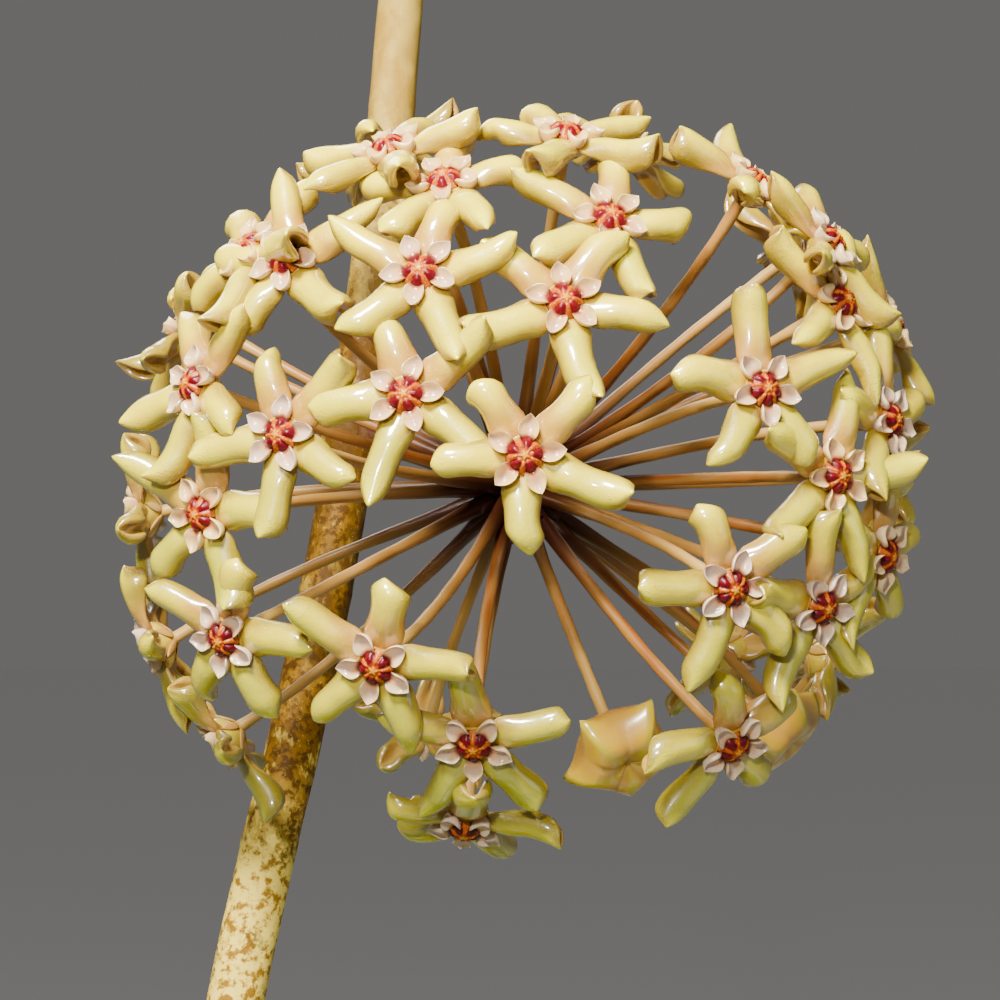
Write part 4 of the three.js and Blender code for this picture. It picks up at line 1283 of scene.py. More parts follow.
def peduncle_material(colours):
    """Brown stem and a darker knob, whose darkness is partly painted shade of the crowded middle; both with a
    warm grain.
    """
    finish = Finish("umbel stem")
    grain = finish.noise(0.8, detail=5, roughness=0.65)
    patches = finish.noise(3.0, detail=3)
    body = finish.paint(
        finish.mix(patches.rise(0.4, 0.65), colours.stalk_dark, colours.bark_brown),
        # The knob and its stubs near-black red-brown: partly their own colour, partly painted shade of the
        # crowded middle.
        (finish.value("knob") * 0.9, colours.stalk_dark),
        (grain.rise(0.55, 0.75) * 0.3, colours.stalk_warm),
    )
    return finish.set(Base_Color=body, Roughness=0.5 + grain * 0.25, Normal=finish.bump(grain, 0.2, 0.9))


# Leaves

LEAF_SIDES = 52
PETIOLE_RINGS = 12
BLADE_STATIONS = np.concatenate([
    np.linspace(0, 0.1, 9, endpoint=False),
    np.linspace(0.1, 0.9, 41, endpoint=False),
    np.linspace(0.9, 0.997, 12),
])
LEAF_STEPS = 900
BLADE_HALF_THICKNESS = 0.62
NERVES = (0.0, 0.36, 0.7)
NERVE_BREADTHS = (0.03, 0.022, 0.018)
NERVE_WIDTH = 0.035
NERVE_DEPTH = 0.16
SWELL_HEIGHT = 0.3
MARGIN_WAVE = 0.7
FOLD = 0.2
PETIOLE_ROUNDNESS = 0.85
BLADE_START = -0.1


def blade_outline(share):
    """Half the blade's width as a share of the widest: an ellipse drawn out to the tip."""
    return np.sqrt(np.maximum(0, 1 - (2 * share**0.88 - 1) ** 2)) * (1 - 0.35 * share**5)


def leaf_mesh(leaf, number):
    """One leaf as rings across its midrib: a round petiole that flattens into a lens-shaped blade.

    The midrib bends in one upright plane from the first slope to the last. Across it the blade folds up
    with the square of the offset, its margins wave a little, and five nerves are pressed into its face.
    """
    stem, place, bearing, first, last, length, width, roll = leaf
    joint, along_stem, radius = stem_at(stem, place)
    heading = upright(1.0, math.radians(bearing), 0.0)
    outward = unit(heading - along_stem * (heading @ along_stem))
    foot = joint + outward * (radius * 0.7)
    start = foot + outward * (radius * 0.3 + 0.35)
    total = PETIOLE_LENGTH + length

    def slope(at):
        return np.radians(first + (last - first) * (at / total) ** 1.3)

    petiole = np.linspace(0, PETIOLE_LENGTH, PETIOLE_RINGS, endpoint=False)
    at = np.concatenate([petiole, PETIOLE_LENGTH + BLADE_STATIONS * length])[:, None]
    fine = np.linspace(0, total, LEAF_STEPS)

    def integral(values):
        """Running integral of values at the fine steps, by the trapezium rule, at the rings."""
        return np.interp(at, fine, running(0.0, (values[1:] + values[:-1]) / 2 * np.diff(fine)))

    spine = start + integral(np.cos(slope(fine))) * heading + integral(np.sin(slope(fine))) * UP
    spine[0] = foot
    facing = -np.sin(slope(at)) * heading + np.cos(slope(at)) * UP
    sideways = np.cross(UP, heading)
    tilt = math.radians(roll) * np.minimum(1, at / PETIOLE_LENGTH)
    across = sideways * np.cos(tilt) + facing * np.sin(tilt)
    up = facing * np.cos(tilt) - sideways * np.sin(tilt)

    along = (at - PETIOLE_LENGTH) / length
    share = np.clip(along, 0, 1)
    opened = np.clip(share * 6, 0, 1)
    arch = np.sin(math.pi * share)
    blade = blade_outline(share) * width / 2
    half = np.maximum(PETIOLE_RADIUS * (1 - 0.25 * (along < 0)), blade)
    half = np.where(share > 0.5, np.maximum(blade, 0.35), half)
    round_part = PETIOLE_RADIUS * PETIOLE_ROUNDNESS
    thick = (round_part + (BLADE_HALF_THICKNESS - round_part) * opened) * (1 - 0.45 * share**4)
    turn = circle(LEAF_SIDES)
    v, lift = np.cos(turn), np.sin(turn)
    dents = sum(bell(np.abs(v) - nerve, NERVE_WIDTH) for nerve in NERVES)
    relief = -NERVE_DEPTH * dents * np.abs(lift) * opened
    swell = SWELL_HEIGHT * np.abs(np.sin(math.pi * v / NERVES[1])) * (1 - v**2) * opened * arch
    wave = MARGIN_WAVE * np.sin(share * 17 + np.sign(v) * 1.3 + number) * np.abs(v) ** 3 * arch
    fold = FOLD * opened * half * v**2
    height = thick * lift + fold + wave + relief + swell
    rings = spine[:, None] + across[:, None] * (half * v)[..., None] + up[:, None] * height[..., None]
    tip = spine[-1] + unit(spine[-1] - spine[-2]) * length * 0.004
    return tubes(
        rings,
        np.array([foot, tip]),
        along=(along, BLADE_START, 1.0),
        across=(v, 0.0, 0.0),
        upper=(lift, 0.0, 0.0),
        tone=chance((number - 1) * 43 + 2),
    )


def leaf_material(colours):
    """Dark glossy face with five paler nerves and a faint net, paler underside, green stalk."""
    finish = Finish("nerved leaf", Coat_Roughness=0.18)
    along, across, upper, tone = finish.values("along", "across", "upper", "tone")
    offset = abs(across)
    wander = (finish.noise(9.0, detail=2) - 0.5) * 0.03
    lines = [
        abs(offset - nerve + wander).rise(breadth * 1.6, breadth * 0.4)
        for nerve, breadth in zip(NERVES, NERVE_BREADTHS)
    ]
    nerves = lines[0].most(lines[1]).most(lines[2])
    net = finish.cells(4.5, feature="DISTANCE_TO_EDGE").rise(0.09, 0.02)
    blotch = finish.noise(14.0, detail=4)
    fleck = finish.noise(1.3, detail=3)
    below = upper.rise(0.05, -0.05)
    body = finish.paint(
        finish.mix(blotch * 0.7 + tone * 0.3, colours.leaf_dark, colours.leaf),
        (fleck.rise(0.66, 0.74) * 0.25, colours.leaf_pale),
        (net * 0.16, colours.leaf_pale),
        (nerves * 0.6, colours.nerve),
        (offset.rise(0.93, 1.0) * 0.4, colours.leaf_edge),
        (below, finish.mix(blotch * 0.5 + nerves * 0.5, colours.leaf_under, colours.nerve)),
        (1 - along.rise(-0.03, 0.05), colours.petiole),
    )
    return finish.set(
        Base_Color=body,
        Roughness=0.26 + fleck * 0.2 + below * 0.25,
        Coat_Weight=0.35 - below * 0.3,
        Normal=finish.bump(blotch * 0.4 + fleck * 0.15 - net * 0.3 - nerves * 0.6, 0.35, 0.5),
    )


# Pot

POT_SIDES = 144
POT_STEP = 3.0
ROUNDING_STEPS = 7


def pot_radius(height):
    """Radius of the pot's tapered outside."""
    return POT_BASE_RADIUS + (POT_TOP_RADIUS - POT_BASE_RADIUS) * height / POT_HEIGHT


def pot_profile():
    """Radius and height from the middle of the underside, up the outside, over the rim and down inside."""
    rim_foot = POT_HEIGHT - POT_RIM_HEIGHT
    corners = [
        # radius, height, rounding
        (POT_CENTRE_GAP, 0.0, 0.0),
        (POT_BASE_RADIUS, 0.0, 2.0),
        (pot_radius(rim_foot), rim_foot, 1.0),
        (POT_RIM_RADIUS - 1.6, rim_foot + 0.4, 2.2),
        (POT_RIM_RADIUS, POT_HEIGHT, 3.2),
        (POT_TOP_RADIUS - POT_WALL + 0.6, POT_HEIGHT, 2.6),
        (pot_radius(POT_FLOOR) - POT_WALL, POT_FLOOR, 3.0),
        (POT_CENTRE_GAP, POT_FLOOR, 0.0),
    ]
    places = np.array(corners)[:, :2]
    points = [places[:1]]
    for before, here, after, corner in zip(places, places[1:], places[2:], corners[1:]):
        enter, leave = (here + unit(side - here) * corner[2] for side in (before, after))
        points.append(bend_curve(enter, here, leave, np.linspace(0, 1, ROUNDING_STEPS)[:, None]))
    rough = np.vstack(points + [places[-1:]])
    distance = travelled(rough)
    dense = np.unique(np.concatenate([distance, np.arange(0, distance[-1], POT_STEP)]))
    return np.stack([np.interp(dense, distance, rough[:, i]) for i in range(2)], axis=1)


def pot_mesh():
    """The pot's profile turned about the upright axis, with slight throwing waves."""
    profile = pot_profile()
    turn = circle(POT_SIDES)
    radius, height = np.hsplit(profile, 2)
    outer = np.arange(len(profile))[:, None] < np.argmax(profile[:, 1] >= POT_HEIGHT - 1e-6)
    wobble = 0.16 * np.sin(turn * 2 + height * 0.03) + 0.07 * np.sin(height * 1.1 + turn) * outer
    rings = upright(radius + wobble * (radius > POT_BASE_RADIUS * 0.7), turn, height)
    return tubes(rings, np.array([0 * UP, POT_FLOOR * UP]))


def drain_mesh():
    """Upright round bars where the drain holes go."""
    middles = upright(DRAIN_CIRCLE, circle(DRAINS) + DRAIN_TURN, 0.0)
    heights = np.array([[-POT_FLOOR], [2 * POT_FLOOR]])
    rings = middles[:, None, None] + upright(DRAIN_RADIUS, circle(DRAIN_SIDES), heights)
    return tubes(rings, middles[:, None] + heights * UP)


def cut_drains(pot):
    """Takes the drain holes out of the pot and removes the cutter."""
    cutter = add_mesh("drain_cutter", *drain_mesh())
    cut = pot.modifiers.new("drain holes", "BOOLEAN")
    cut.operation = "DIFFERENCE"
    cut.solver = "EXACT"
    cut.object = cutter
    bpy.context.view_layer.objects.active = pot
    with bpy.context.temp_override(object=pot, active_object=pot, selected_objects=[pot]):
        bpy.ops.object.modifier_apply(modifier=cut.name)
    bpy.data.objects.remove(cutter)


def clay_material(colours):
    """Fired clay with fine pores, lime bloom under the rim and at the foot, and damp patches."""
    finish = Finish("fired clay")
    z = finish.split(finish.place())[2]
    cloud = finish.noise(22.0, detail=5, roughness=0.6)
    bloom = finish.noise(9.0, detail=6, roughness=0.68)
    grain = finish.noise(0.9, detail=3, roughness=0.6)
    turned = finish.noise(2.2, detail=2, at=finish.place((0.12, 0.12, 1.0)))
    pores = finish.cells(1.5).rise(0.22, 0.1) * finish.noise(4.0, detail=2).rise(0.5, 0.62)
    heights = z.rise(60.0, 92.0) * z.rise(99.0, 93.0) + z.rise(34.0, 3.0) * 0.9
    lime = bloom.rise(0.5, 0.72) * (heights + 0.12)
    damp = cloud.rise(0.52, 0.7) * z.rise(70.0, 20.0)
    body = finish.paint(
        finish.mix(cloud.rise(0.3, 0.7), colours.clay, colours.clay_warm),
        (turned.rise(0.4, 0.65) * 0.3, colours.clay_pale),
        (lime.clamp() * 0.75, colours.lime),
        (damp * 0.4, colours.clay_damp),
        (pores * 0.5, colours.clay_damp),
        (grain.rise(0.6, 0.75) * 0.2, colours.clay_pale),
    )
    return finish.set(
        Base_Color=body,
        Roughness=0.75 + grain * 0.2 - damp * 0.2,
        Normal=finish.bump(grain * 0.4 + turned * 0.35 + bloom * 0.15 - pores * 0.5, 0.3, 0.7),
    )


# Bark mix

CHIPS = 420
CHIP_RINGS = 5
CHIP_SIDES = 7
CHIP_SPREAD = 50.0
MIX_RINGS = 58
MIX_SIDES = 110


def mix_height(x, y):
    """Height of the mix: a low hump with broad waves and lumps."""
    out = np.hypot(x, y) / POT_TOP_RADIUS
    broad = SOIL_TOP + SOIL_HUMP * (1 - out * out) + 0.9 * np.sin(x * 0.19 + 1) * np.cos(y * 0.23)
    return broad + 0.5 * np.sin(x * 0.9 + np.sin(y * 0.7)) * np.sin(y * 1.1) - 0.6


def mix_mesh():
    """The mix as a closed body: its uneven top, and the pot's tapered inside below it."""
    turn = circle(MIX_SIDES)
    wide, narrow = (pot_radius(height) - POT_WALL - SOIL_GAP for height in (SOIL_TOP, POT_FLOOR))
    out = wide * np.append(np.linspace(1, 0.03, MIX_RINGS - 1), 0.01)[:, None]
    top = upright(out, turn, mix_height(out * np.cos(turn), out * np.sin(turn)))
    floor = POT_FLOOR + SOIL_GAP
    rings = np.vstack([upright(np.array([[0.5], [narrow - 1.5]]), turn, floor), top])
    return tubes(rings, np.array([floor * UP, mix_height(0.0, 0.0) * UP]))


def chip_mesh():
    """Bark chips on the mix: flat rough lozenges of a few rings, each turned and tilted by its seed."""
    seeds = np.arange(CHIPS)[:, None]

    def draw(factor, shift):
        """A number from 0 to 1 for each chip: (chips, 1)."""
        return chance(seeds * factor + shift)

    out = np.sqrt(draw(3, 1)) * CHIP_SPREAD
    angle = draw(3, 2) * 2 * math.pi
    size = 2.0 + 3.4 * draw(5, 3)
    thick = 0.9 + 1.1 * draw(5, 4)
    along = unit(upright(1.0, draw(7, 1) * 2 * math.pi, 1.3 * (draw(7, 2) - 0.5)))
    across = unit(np.cross(UP, along) + 0.5 * (draw(7, 3) - 0.5)[..., None] * UP)
    middle = upright(out, angle, mix_height(out * np.cos(angle), out * np.sin(angle)) + 0.35 * thick)
    turn = circle(CHIP_SIDES)
    stations = np.linspace(-1, 1, CHIP_RINGS)[:, None]
    corner = np.arange(CHIP_RINGS)[:, None] * 7 + np.arange(CHIP_SIDES)
    jag = 1 + 0.35 * (chance(seeds[..., None] * 31 + corner) - 0.5)
    girth = (1 - np.abs(stations) ** 3 * 0.45) * jag
    flat = (girth * np.cos(turn) * size[..., None] * 0.55)[..., None] * across[:, None]
    tall = (girth * np.sin(turn) * thick[..., None] * 0.6)[..., None] * np.cross(along, across)[:, None]
    spine = middle[:, None] + (stations * size[..., None])[..., None] * along[:, None]
    poles = middle + along * size[..., None] * np.array([[-0.95], [0.95]])
    return tubes(spine + flat + tall, poles, tone=draw(11, 5))


def mix_material(colours, name, chips):
    """Dark crumbly bark mix, and for the chips also dry bark and some pale grains."""
    finish = Finish(name)
    lump = finish.noise(3.0, detail=6, roughness=0.7)
    grain = finish.noise(0.6, detail=4, roughness=0.7)
    body = finish.mix(lump.rise(0.35, 0.65), colours.mix_dark, colours.mix)
    if chips:
        tone = finish.value("tone")
        body = finish.paint(
            body, (tone.rise(0.1, 0.9) * 0.8, colours.chip), (tone.rise(0.93, 0.96), colours.lime)
        )
    return finish.set(
        Base_Color=finish.mix(grain.rise(0.55, 0.75) * 0.35, body, colours.chip),
        Roughness=0.8 + grain * 0.15,
        Normal=finish.bump(lump * 0.6 + grain * 0.4, 0.5, 0.9),
    )


# Settings


def colour_setting(name, description, value):
    return bpy.props.FloatVectorProperty(
        name=name, description=description, default=value, size=3, min=0.0, max=1.0, subtype="COLOR"
    )


def length_setting(name, description, value):
    return bpy.props.FloatProperty(name=name, description=description, default=value, min=0.1)


class WaxPlantShapes(bpy.types.PropertyGroup):
    """Sizes that a user would change, in millimetres."""

    petal_width: length_setting("Petal width", "Width of a petal over its rolled edges, in mm", 2.85)
    petal_wall: length_setting("Petal wall", "Thickness of the rolled petal, in mm", 0.85)
    crown_reach: length_setting("Crown reach", "Middle of a flower to the tip of a crown lobe, in mm", 3.02)
    stalk_thickness: length_setting("Stalk thickness", "Thickness of a flower stalk, in mm", 0.95)


class WaxPlantFlowerColours(bpy.types.PropertyGroup):
    """Colours of the flowers, their stalks and buds."""

    petal: colour_setting("Petal", "Cream of the upper flowers", (0.8, 0.6, 0.004))
    petal_pale: colour_setting("Pale petal", "Lightest cream", (0.98, 0.86, 0.01))
    # Darker greenish cream: partly the lower flowers' own green, partly painted shade.
    petal_green_and_shade: colour_setting("Green petal", "Greenish cream of the lower flowers", (0.36, 0.35, 0.014))
    # Also painted shade on the petal's sides.
    petal_side: colour_setting("Petal side", "Ochre of the petal's sides", (0.32, 0.2, 0.004))
    # Olive of the lower petals' sides: partly painted shade.
    petal_shade: colour_setting("Petal shade", "Olive sides of the lower petals", (0.19, 0.17, 0.008))
    # Partly painted shade inside the roll.
    petal_inner: colour_setting("Petal inside", "Orange-brown inside the roll", (0.46, 0.25, 0.04))
    # Also painted shade at the base of the standing petals.
    blush: colour_setting("Blush", "Pink-peach next to the crown", (0.48, 0.21, 0.035))
    crown: colour_setting("Crown", "Pinkish white of the crown lobes", (0.64, 0.4, 0.12))
    crown_pale: colour_setting("Pale crown", "Lightest part of the lobes", (0.8, 0.57, 0.22))
    crown_rim: colour_setting("Crown rim", "Peach where the lobes begin", (0.8, 0.32, 0.07))
    # Painted shade in the lobes' hollows.
    crown_hollow_shade: colour_setting("Crown hollow", "Greyish pink of the lobes' hollows", (0.5, 0.26, 0.17))
    # Placed on the lower flowers by tone, which is partly painted shade.
    crown_cool: colour_setting("Cool crown", "Lilac grey of the lower flowers' lobes", (0.62, 0.46, 0.38))
    # Painted glints on the lower flowers' lobes.
    crown_glint_dot: colour_setting("Crown dot", "Pale dots on the lower flowers' lobes", (0.9, 0.85, 0.8))
    crimson: colour_setting("Crimson", "Red at the foot of the lobes", (0.08, 0.001, 0.006))
    # Brighter red of the upper flowers: partly painted light.
    crimson_warm: colour_setting("Warm crimson", "Red in the upper flowers", (0.15, 0.001, 0.006))
    spoke: colour_setting("Spoke", "Orange between the red pads", (0.42, 0.07, 0.0))
    star: colour_setting("Star", "Pale middle of the crown", (0.62, 0.26, 0.002))
    stalk: colour_setting("Stalk", "Tan of the flower stalks", (0.4, 0.17, 0.03))
    stalk_warm: colour_setting("Warm stalk", "Orange-brown of some stalks", (0.32, 0.08, 0.008))
    # Partly painted shade of the crowded middle.
    stalk_dark: colour_setting("Dark stalk", "Red-brown by the knob", (0.05, 0.006, 0.002))
    stalk_pale: colour_setting("Pale stalk", "Lighter end by the flower", (0.46, 0.29, 0.06))
    # A painted reflection.
    stalk_sheen: colour_setting("Stalk sheen", "Greyish lilac streaks of the stalks", (0.5, 0.36, 0.3))
    bud: colour_setting("Bud", "Ochre of the closed buds", (0.42, 0.2, 0.01))
    bark_brown: colour_setting("Brown", "Brown of the umbel's stem", (0.17, 0.075, 0.015))


class WaxPlantPlantColours(bpy.types.PropertyGroup):
    """Colours of the stems and leaves."""

    bark: colour_setting("Bark", "Golden tan of the old stem", (0.34, 0.2, 0.025))
    bark_pale: colour_setting("Pale bark", "Cream of the old stem", (0.9, 0.67, 0.11))
    # Partly painted shade behind the umbel.
    bark_gold: colour_setting("Golden bark", "Golden brown behind the umbel", (0.28, 0.135, 0.005))
    bark_tan: colour_setting("Tan bark", "Smooth tan above the umbel", (0.42, 0.28, 0.05))
    bark_brown: colour_setting("Brown bark", "Brown patches", (0.08, 0.034, 0.004))
    bark_speck: colour_setting("Bark speck", "Dark specks", (0.06, 0.025, 0.004))
    young_stem: colour_setting("Green stem", "Green of the young stems", (0.26, 0.3, 0.1))
    leaf: colour_setting("Leaf", "Face of the leaf", (0.075, 0.165, 0.03))
    leaf_dark: colour_setting("Dark leaf", "Darker parts of the face", (0.035, 0.095, 0.018))
    leaf_pale: colour_setting("Leaf fleck", "Flecks and the fine net", (0.26, 0.38, 0.13))
    leaf_under: colour_setting("Leaf underside", "Paler underside", (0.21, 0.31, 0.11))
    leaf_edge: colour_setting("Leaf edge", "Thin edge of the blade", (0.22, 0.24, 0.07))
    nerve: colour_setting("Nerve", "The five nerves", (0.27, 0.37, 0.13))
    petiole: colour_setting("Leaf stalk", "Stalk of the leaf", (0.24, 0.25, 0.09))


class WaxPlantPotColours(bpy.types.PropertyGroup):
    """Colours of the pot and the bark mix."""

    clay: colour_setting("Clay", "Fired clay", (0.48, 0.19, 0.09))
    clay_warm: colour_setting("Warm clay", "Oranger clay", (0.58, 0.25, 0.12))
    clay_pale: colour_setting("Pale clay", "Dry, dusty clay", (0.68, 0.38, 0.24))
    clay_damp: colour_setting("Damp clay", "Damp patches and pores", (0.27, 0.1, 0.05))
    lime: colour_setting("Lime", "Lime bloom and pale grains", (0.78, 0.72, 0.63))
    mix: colour_setting("Mix", "Bark mix", (0.13, 0.07, 0.035))
    mix_dark: colour_setting("Dark mix", "Damp mix", (0.045, 0.025, 0.014))
    chip: colour_setting("Chip", "Dry bark chips", (0.3, 0.16, 0.075))


class WaxPlantStage(bpy.types.PropertyGroup):
    """Floor and light."""

    floor: colour_setting("Floor", "Floor", (0.66, 0.65, 0.635))
    sky: colour_setting("Surround", "Light from all round", (0.6, 0.59, 0.575))
    key_power: bpy.props.FloatProperty(
        name="Key", description="Power of the main light", default=2.6, unit="POWER"
    )


# Operators

PETAL_GROUPS = 4
CROWN_GROUPS = 2


class Builder:
    """What the operators share: each builds its pieces, and then it is done."""

    def execute(self, context):
        self.build(context)
        return {"FINISHED"}


class WAXPLANT_OT_petals(Builder, bpy.types.Operator):
    """Rolled waxy petals and the cups that join them, in a few groups of flowers"""

    bl_idname = "waxplant.petals"
    bl_label = "Petals"

    def build(self, context):
        shapes = context.scene.wax_shapes
        material = petal_material(context.scene.wax_flowers)
        heads = flower_heads()
        offset = heads.base - UMBEL_CENTRE
        order = np.argsort(np.arctan2(offset[:, 2], offset[:, 0]))
        for group, chosen in enumerate(np.array_split(order, PETAL_GROUPS)):
            some = heads.part(chosen)
            petals = petal_mesh(some, shapes.petal_width, shapes.petal_wall)
            piece = add_mesh(f"petals_{group + 1}", *joined(petals, cup_mesh(some)))
            smoothed(piece, 1)
            finish_piece(piece, material, ("umbel",) if group == 0 else ())


class WAXPLANT_OT_crowns(Builder, bpy.types.Operator):
    """The crown in the middle of each flower: five lobes round a starred boss"""

    bl_idname = "waxplant.crowns"
    bl_label = "Crowns"

    def build(self, context):
        heads = flower_heads()
        material = crown_material(context.scene.wax_flowers)
        for group, chosen in enumerate(np.array_split(np.arange(len(heads)), CROWN_GROUPS)):
            some = heads.part(chosen)
            lobes = crown_lobe_mesh(some, context.scene.wax_shapes.crown_reach)
            piece = add_mesh(f"crowns_{group + 1}", *joined(lobes, boss_mesh(some)))
            finish_piece(piece, material)


class WAXPLANT_OT_stalks(Builder, bpy.types.Operator):
    """Flower stalks with their sepals, the knob that bears them and the umbel's own stem"""

    bl_idname = "waxplant.stalks"
    bl_label = "Flower stalks"

    def build(self, context):
        colours, thickness = context.scene.wax_flowers, context.scene.wax_shapes.stalk_thickness
        heads = flower_heads()
        stalks = stalk_mesh(heads, FLOWER_NECK, thickness)
        bud_stalks = stalk_mesh(bud_heads(), BUD_NECK, thickness)
        piece = add_mesh("flower_stalks", *joined(stalks, bud_stalks, sepal_mesh(heads)))
        finish_piece(piece, stalk_material(colours))
        piece = add_mesh("umbel_stem", *joined(peduncle_mesh(), rachis_mesh(), stub_mesh()))
        finish_piece(piece, peduncle_material(colours))


class WAXPLANT_OT_buds(Builder, bpy.types.Operator):
    """Closed five-cornered buds"""

    bl_idname = "waxplant.buds"
    bl_label = "Buds"

    def build(self, context):
        piece = add_mesh("buds", *bud_mesh(bud_heads()))
        finish_piece(piece, bud_material(context.scene.wax_flowers))


class WAXPLANT_OT_stems(Builder, bpy.types.Operator):
    """The old climbing stem in speckled bark, and two young green ones"""

    bl_idname = "waxplant.stems"
    bl_label = "Stems"

    def build(self, context):
        colours = context.scene.wax_plant
        old, young = old_bark_material(colours), young_bark_material(colours)
        for name in STEMS:
            piece = add_mesh(f"{name}_bark", *stem_mesh(name, STEM_SIDES[name]))
            material, slot = (old, "old_stem") if name == OLD_STEM else (young, "young_stem")
            finish_piece(piece, material, (name,))


class WAXPLANT_OT_leaves(Builder, bpy.types.Operator):
    """Thick leaves with five nerves"""

    bl_idname = "waxplant.leaves"
    bl_label = "Leaves"

    def build(self, context):
        material = leaf_material(context.scene.wax_plant)
        for number, leaf in enumerate(LEAVES, start=1):
            piece = add_mesh(f"leaf_{number:02d}_blade", *leaf_mesh(leaf, number))
            finish_piece(piece, material, (f"leaf_{number:02d}",))


class WAXPLANT_OT_pot(Builder, bpy.types.Operator):
    """The clay pot with its drain holes, and the bark mix in it"""

    bl_idname = "waxplant.pot"
    bl_label = "Pot and bark mix"

    def build(self, context):
        colours = context.scene.wax_pot
        pot = add_mesh("clay_pot", *pot_mesh())
        cut_drains(pot)
        finish_piece(pot, clay_material(colours), ("pot",))
        mix = add_mesh("mix_surface", *mix_mesh())
        finish_piece(mix, mix_material(colours, "bark mix", False), ("bark_mix",))
        chips = add_mesh("bark_chips", *chip_mesh())
        chips.data.polygons.foreach_set("use_smooth", np.zeros(len(chips.data.polygons), bool))
        finish_piece(chips, mix_material(colours, "bark chips", True))


FLOOR_EDGE = 4000.0
FLOOR_FADE = (350.0, 1150.0)
FLOOR_DIM = 0.94
FAR_FLOOR = (0.97, 0.97, 0.97)
SKY_STRENGTH = 0.24
# Lights: place from the umbel and size in millimetres, share of the main light's power, colour.
LIGHTS = {
    "key": ((-64, -166, 174), 60, 1.0, (1.0, 0.96, 0.87)),
    "glint": ((-46, -270, 86), 15, 0.25, (1.0, 0.98, 0.94)),
    "fill": ((420, -260, 60), 300, 0.12, (0.93, 0.96, 1.0)),
    "rim": ((-220, 420, 380), 260, 0.8, (1.0, 0.98, 0.95)),
}
CAMERA = {
    "sensor_width": 36.0,
    "lens": 93.8,
    "shift_x": -0.015,
    "shift_y": -0.013,
    "clip_start": 0.005,
    "clip_end": 50.0,
}


def floor_material(near, far):
    """Slightly clouded paper that turns paler far from the pot."""
    finish = Finish("pale floor", Roughness=0.7)
    x, y = finish.split(finish.place())[:2]
    clouded = finish.mix(finish.noise(180.0, detail=3), near, tuple(part * FLOOR_DIM for part in near))
    away = (x * x + y * y) ** 0.5
    return finish.set(Base_Color=finish.mix(away.rise(*FLOOR_FADE), clouded, far))


def area_light(name, offset, size, power, colour):
    """A square area light at an offset from the umbel, in millimetres, that shines at it."""
    lamp = bpy.data.lights.new(name, "AREA")
    lamp.size = size * MM
    lamp.energy = power
    lamp.color = colour
    made = bpy.data.objects.new(name, lamp)
    made.location = Vector((UMBEL_CENTRE + offset) * MM)
    made.rotation_euler = (-Vector(offset)).to_track_quat("-Z", "Y").to_euler()
    bpy.context.collection.objects.link(made)


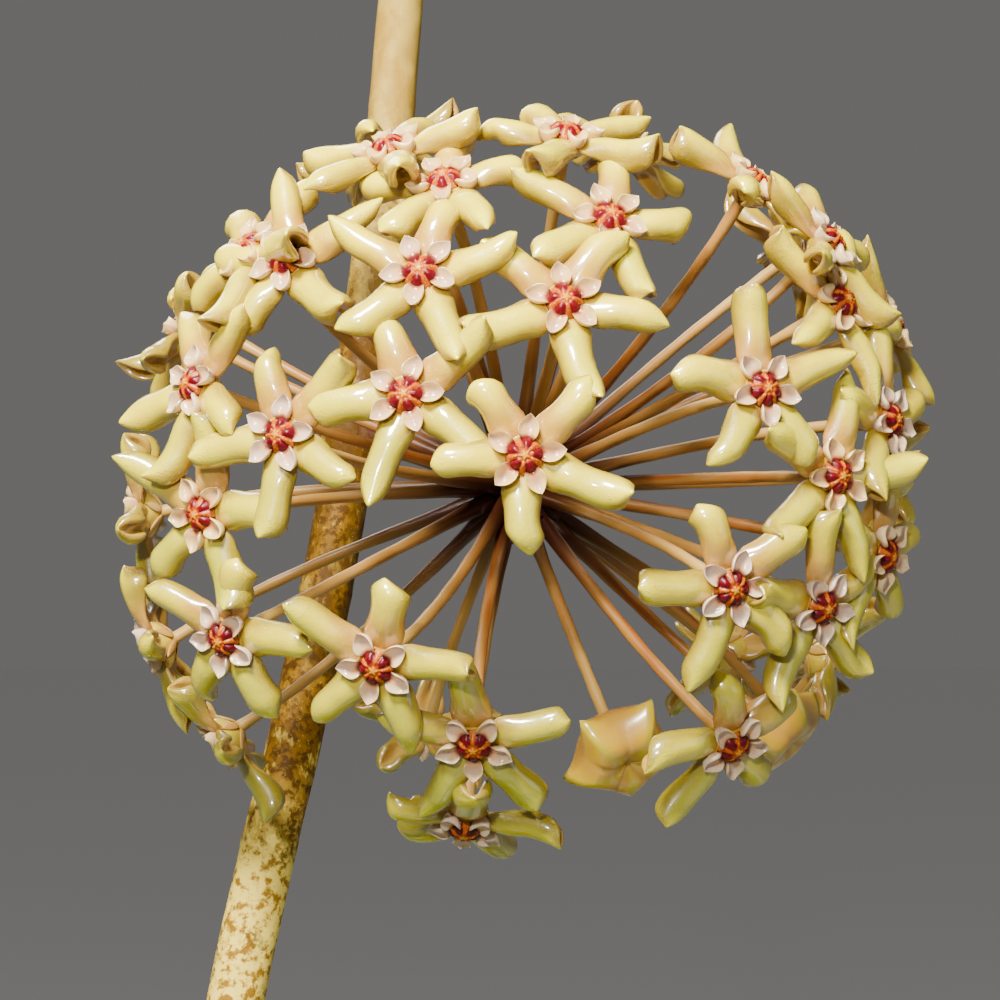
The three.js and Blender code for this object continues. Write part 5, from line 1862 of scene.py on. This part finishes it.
class WAXPLANT_OT_stage(Builder, bpy.types.Operator):
    """Floor, lights and the camera that sees the umbel as the picture does"""

    bl_idname = "waxplant.stage"
    bl_label = "Stage"

    def build(self, context):
        settings = context.scene.wax_stage
        sides = np.array([(-1, -1, 0), (1, -1, 0), (1, 1, 0), (-1, 1, 0)])
        floor = add_mesh("floor", sides * FLOOR_EDGE, [[0, 1, 2, 3]], {})
        floor.data.materials.append(floor_material(settings.floor, FAR_FLOOR))
        world = bpy.data.worlds.new("studio")
        world.use_nodes = True
        background = world.node_tree.nodes["Background"]
        background.inputs["Color"].default_value = (*settings.sky, 1.0)
        background.inputs["Strength"].default_value = SKY_STRENGTH
        context.scene.world = world
        for name, (offset, size, share, colour) in LIGHTS.items():
            area_light(name, offset, size, settings.key_power * share, colour)
        lens = bpy.data.cameras.new("picture view")
        for key, value in CAMERA.items():
            setattr(lens, key, value)
        camera = bpy.data.objects.new("picture view", lens)
        camera.location = Vector((UMBEL_CENTRE + VIEW_AXIS * PICTURE["eye"]) * MM)
        camera.rotation_euler = (math.pi / 2, 0.0, 0.0)
        context.collection.objects.link(camera)
        context.scene.camera = camera


class WAXPLANT_PT_panel(bpy.types.Panel):
    """Lists the pieces of the plant and their settings"""

    bl_idname = "WAXPLANT_PT_panel"
    bl_label = "Wax plant"
    bl_space_type = "VIEW_3D"
    bl_region_type = "UI"
    bl_category = "Wax plant"

    def draw(self, context):
        for operator in OPERATORS:
            self.layout.operator(operator.bl_idname)
        for key in SETTINGS:
            group = getattr(context.scene, key)
            box = self.layout.box()
            for name in group.__annotations__:
                box.prop(group, name)


OPERATORS = (
    WAXPLANT_OT_petals,
    WAXPLANT_OT_crowns,
    WAXPLANT_OT_stalks,
    WAXPLANT_OT_buds,
    WAXPLANT_OT_stems,
    WAXPLANT_OT_leaves,
    WAXPLANT_OT_pot,
    WAXPLANT_OT_stage,
)
SETTINGS = {
    "wax_shapes": WaxPlantShapes,
    "wax_flowers": WaxPlantFlowerColours,
    "wax_plant": WaxPlantPlantColours,
    "wax_pot": WaxPlantPotColours,
    "wax_stage": WaxPlantStage,
}


def register():
    for group in SETTINGS.values():
        bpy.utils.register_class(group)
    for key, group in SETTINGS.items():
        setattr(bpy.types.Scene, key, bpy.props.PointerProperty(type=group))
    for operator in OPERATORS:
        bpy.utils.register_class(operator)
    bpy.utils.register_class(WAXPLANT_PT_panel)


def unregister():
    bpy.utils.unregister_class(WAXPLANT_PT_panel)
    for operator in reversed(OPERATORS):
        bpy.utils.unregister_class(operator)
    for key, group in SETTINGS.items():
        delattr(bpy.types.Scene, key)
        bpy.utils.unregister_class(group)


def main():
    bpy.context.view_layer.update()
    register()
    bpy.ops.waxplant.petals()
    bpy.ops.waxplant.crowns()
    bpy.ops.waxplant.stalks()
    bpy.ops.waxplant.buds()
    bpy.ops.waxplant.stems()
    bpy.ops.waxplant.leaves()
    bpy.ops.waxplant.pot()
    bpy.ops.waxplant.stage()


if __name__ == "__main__":
    main()
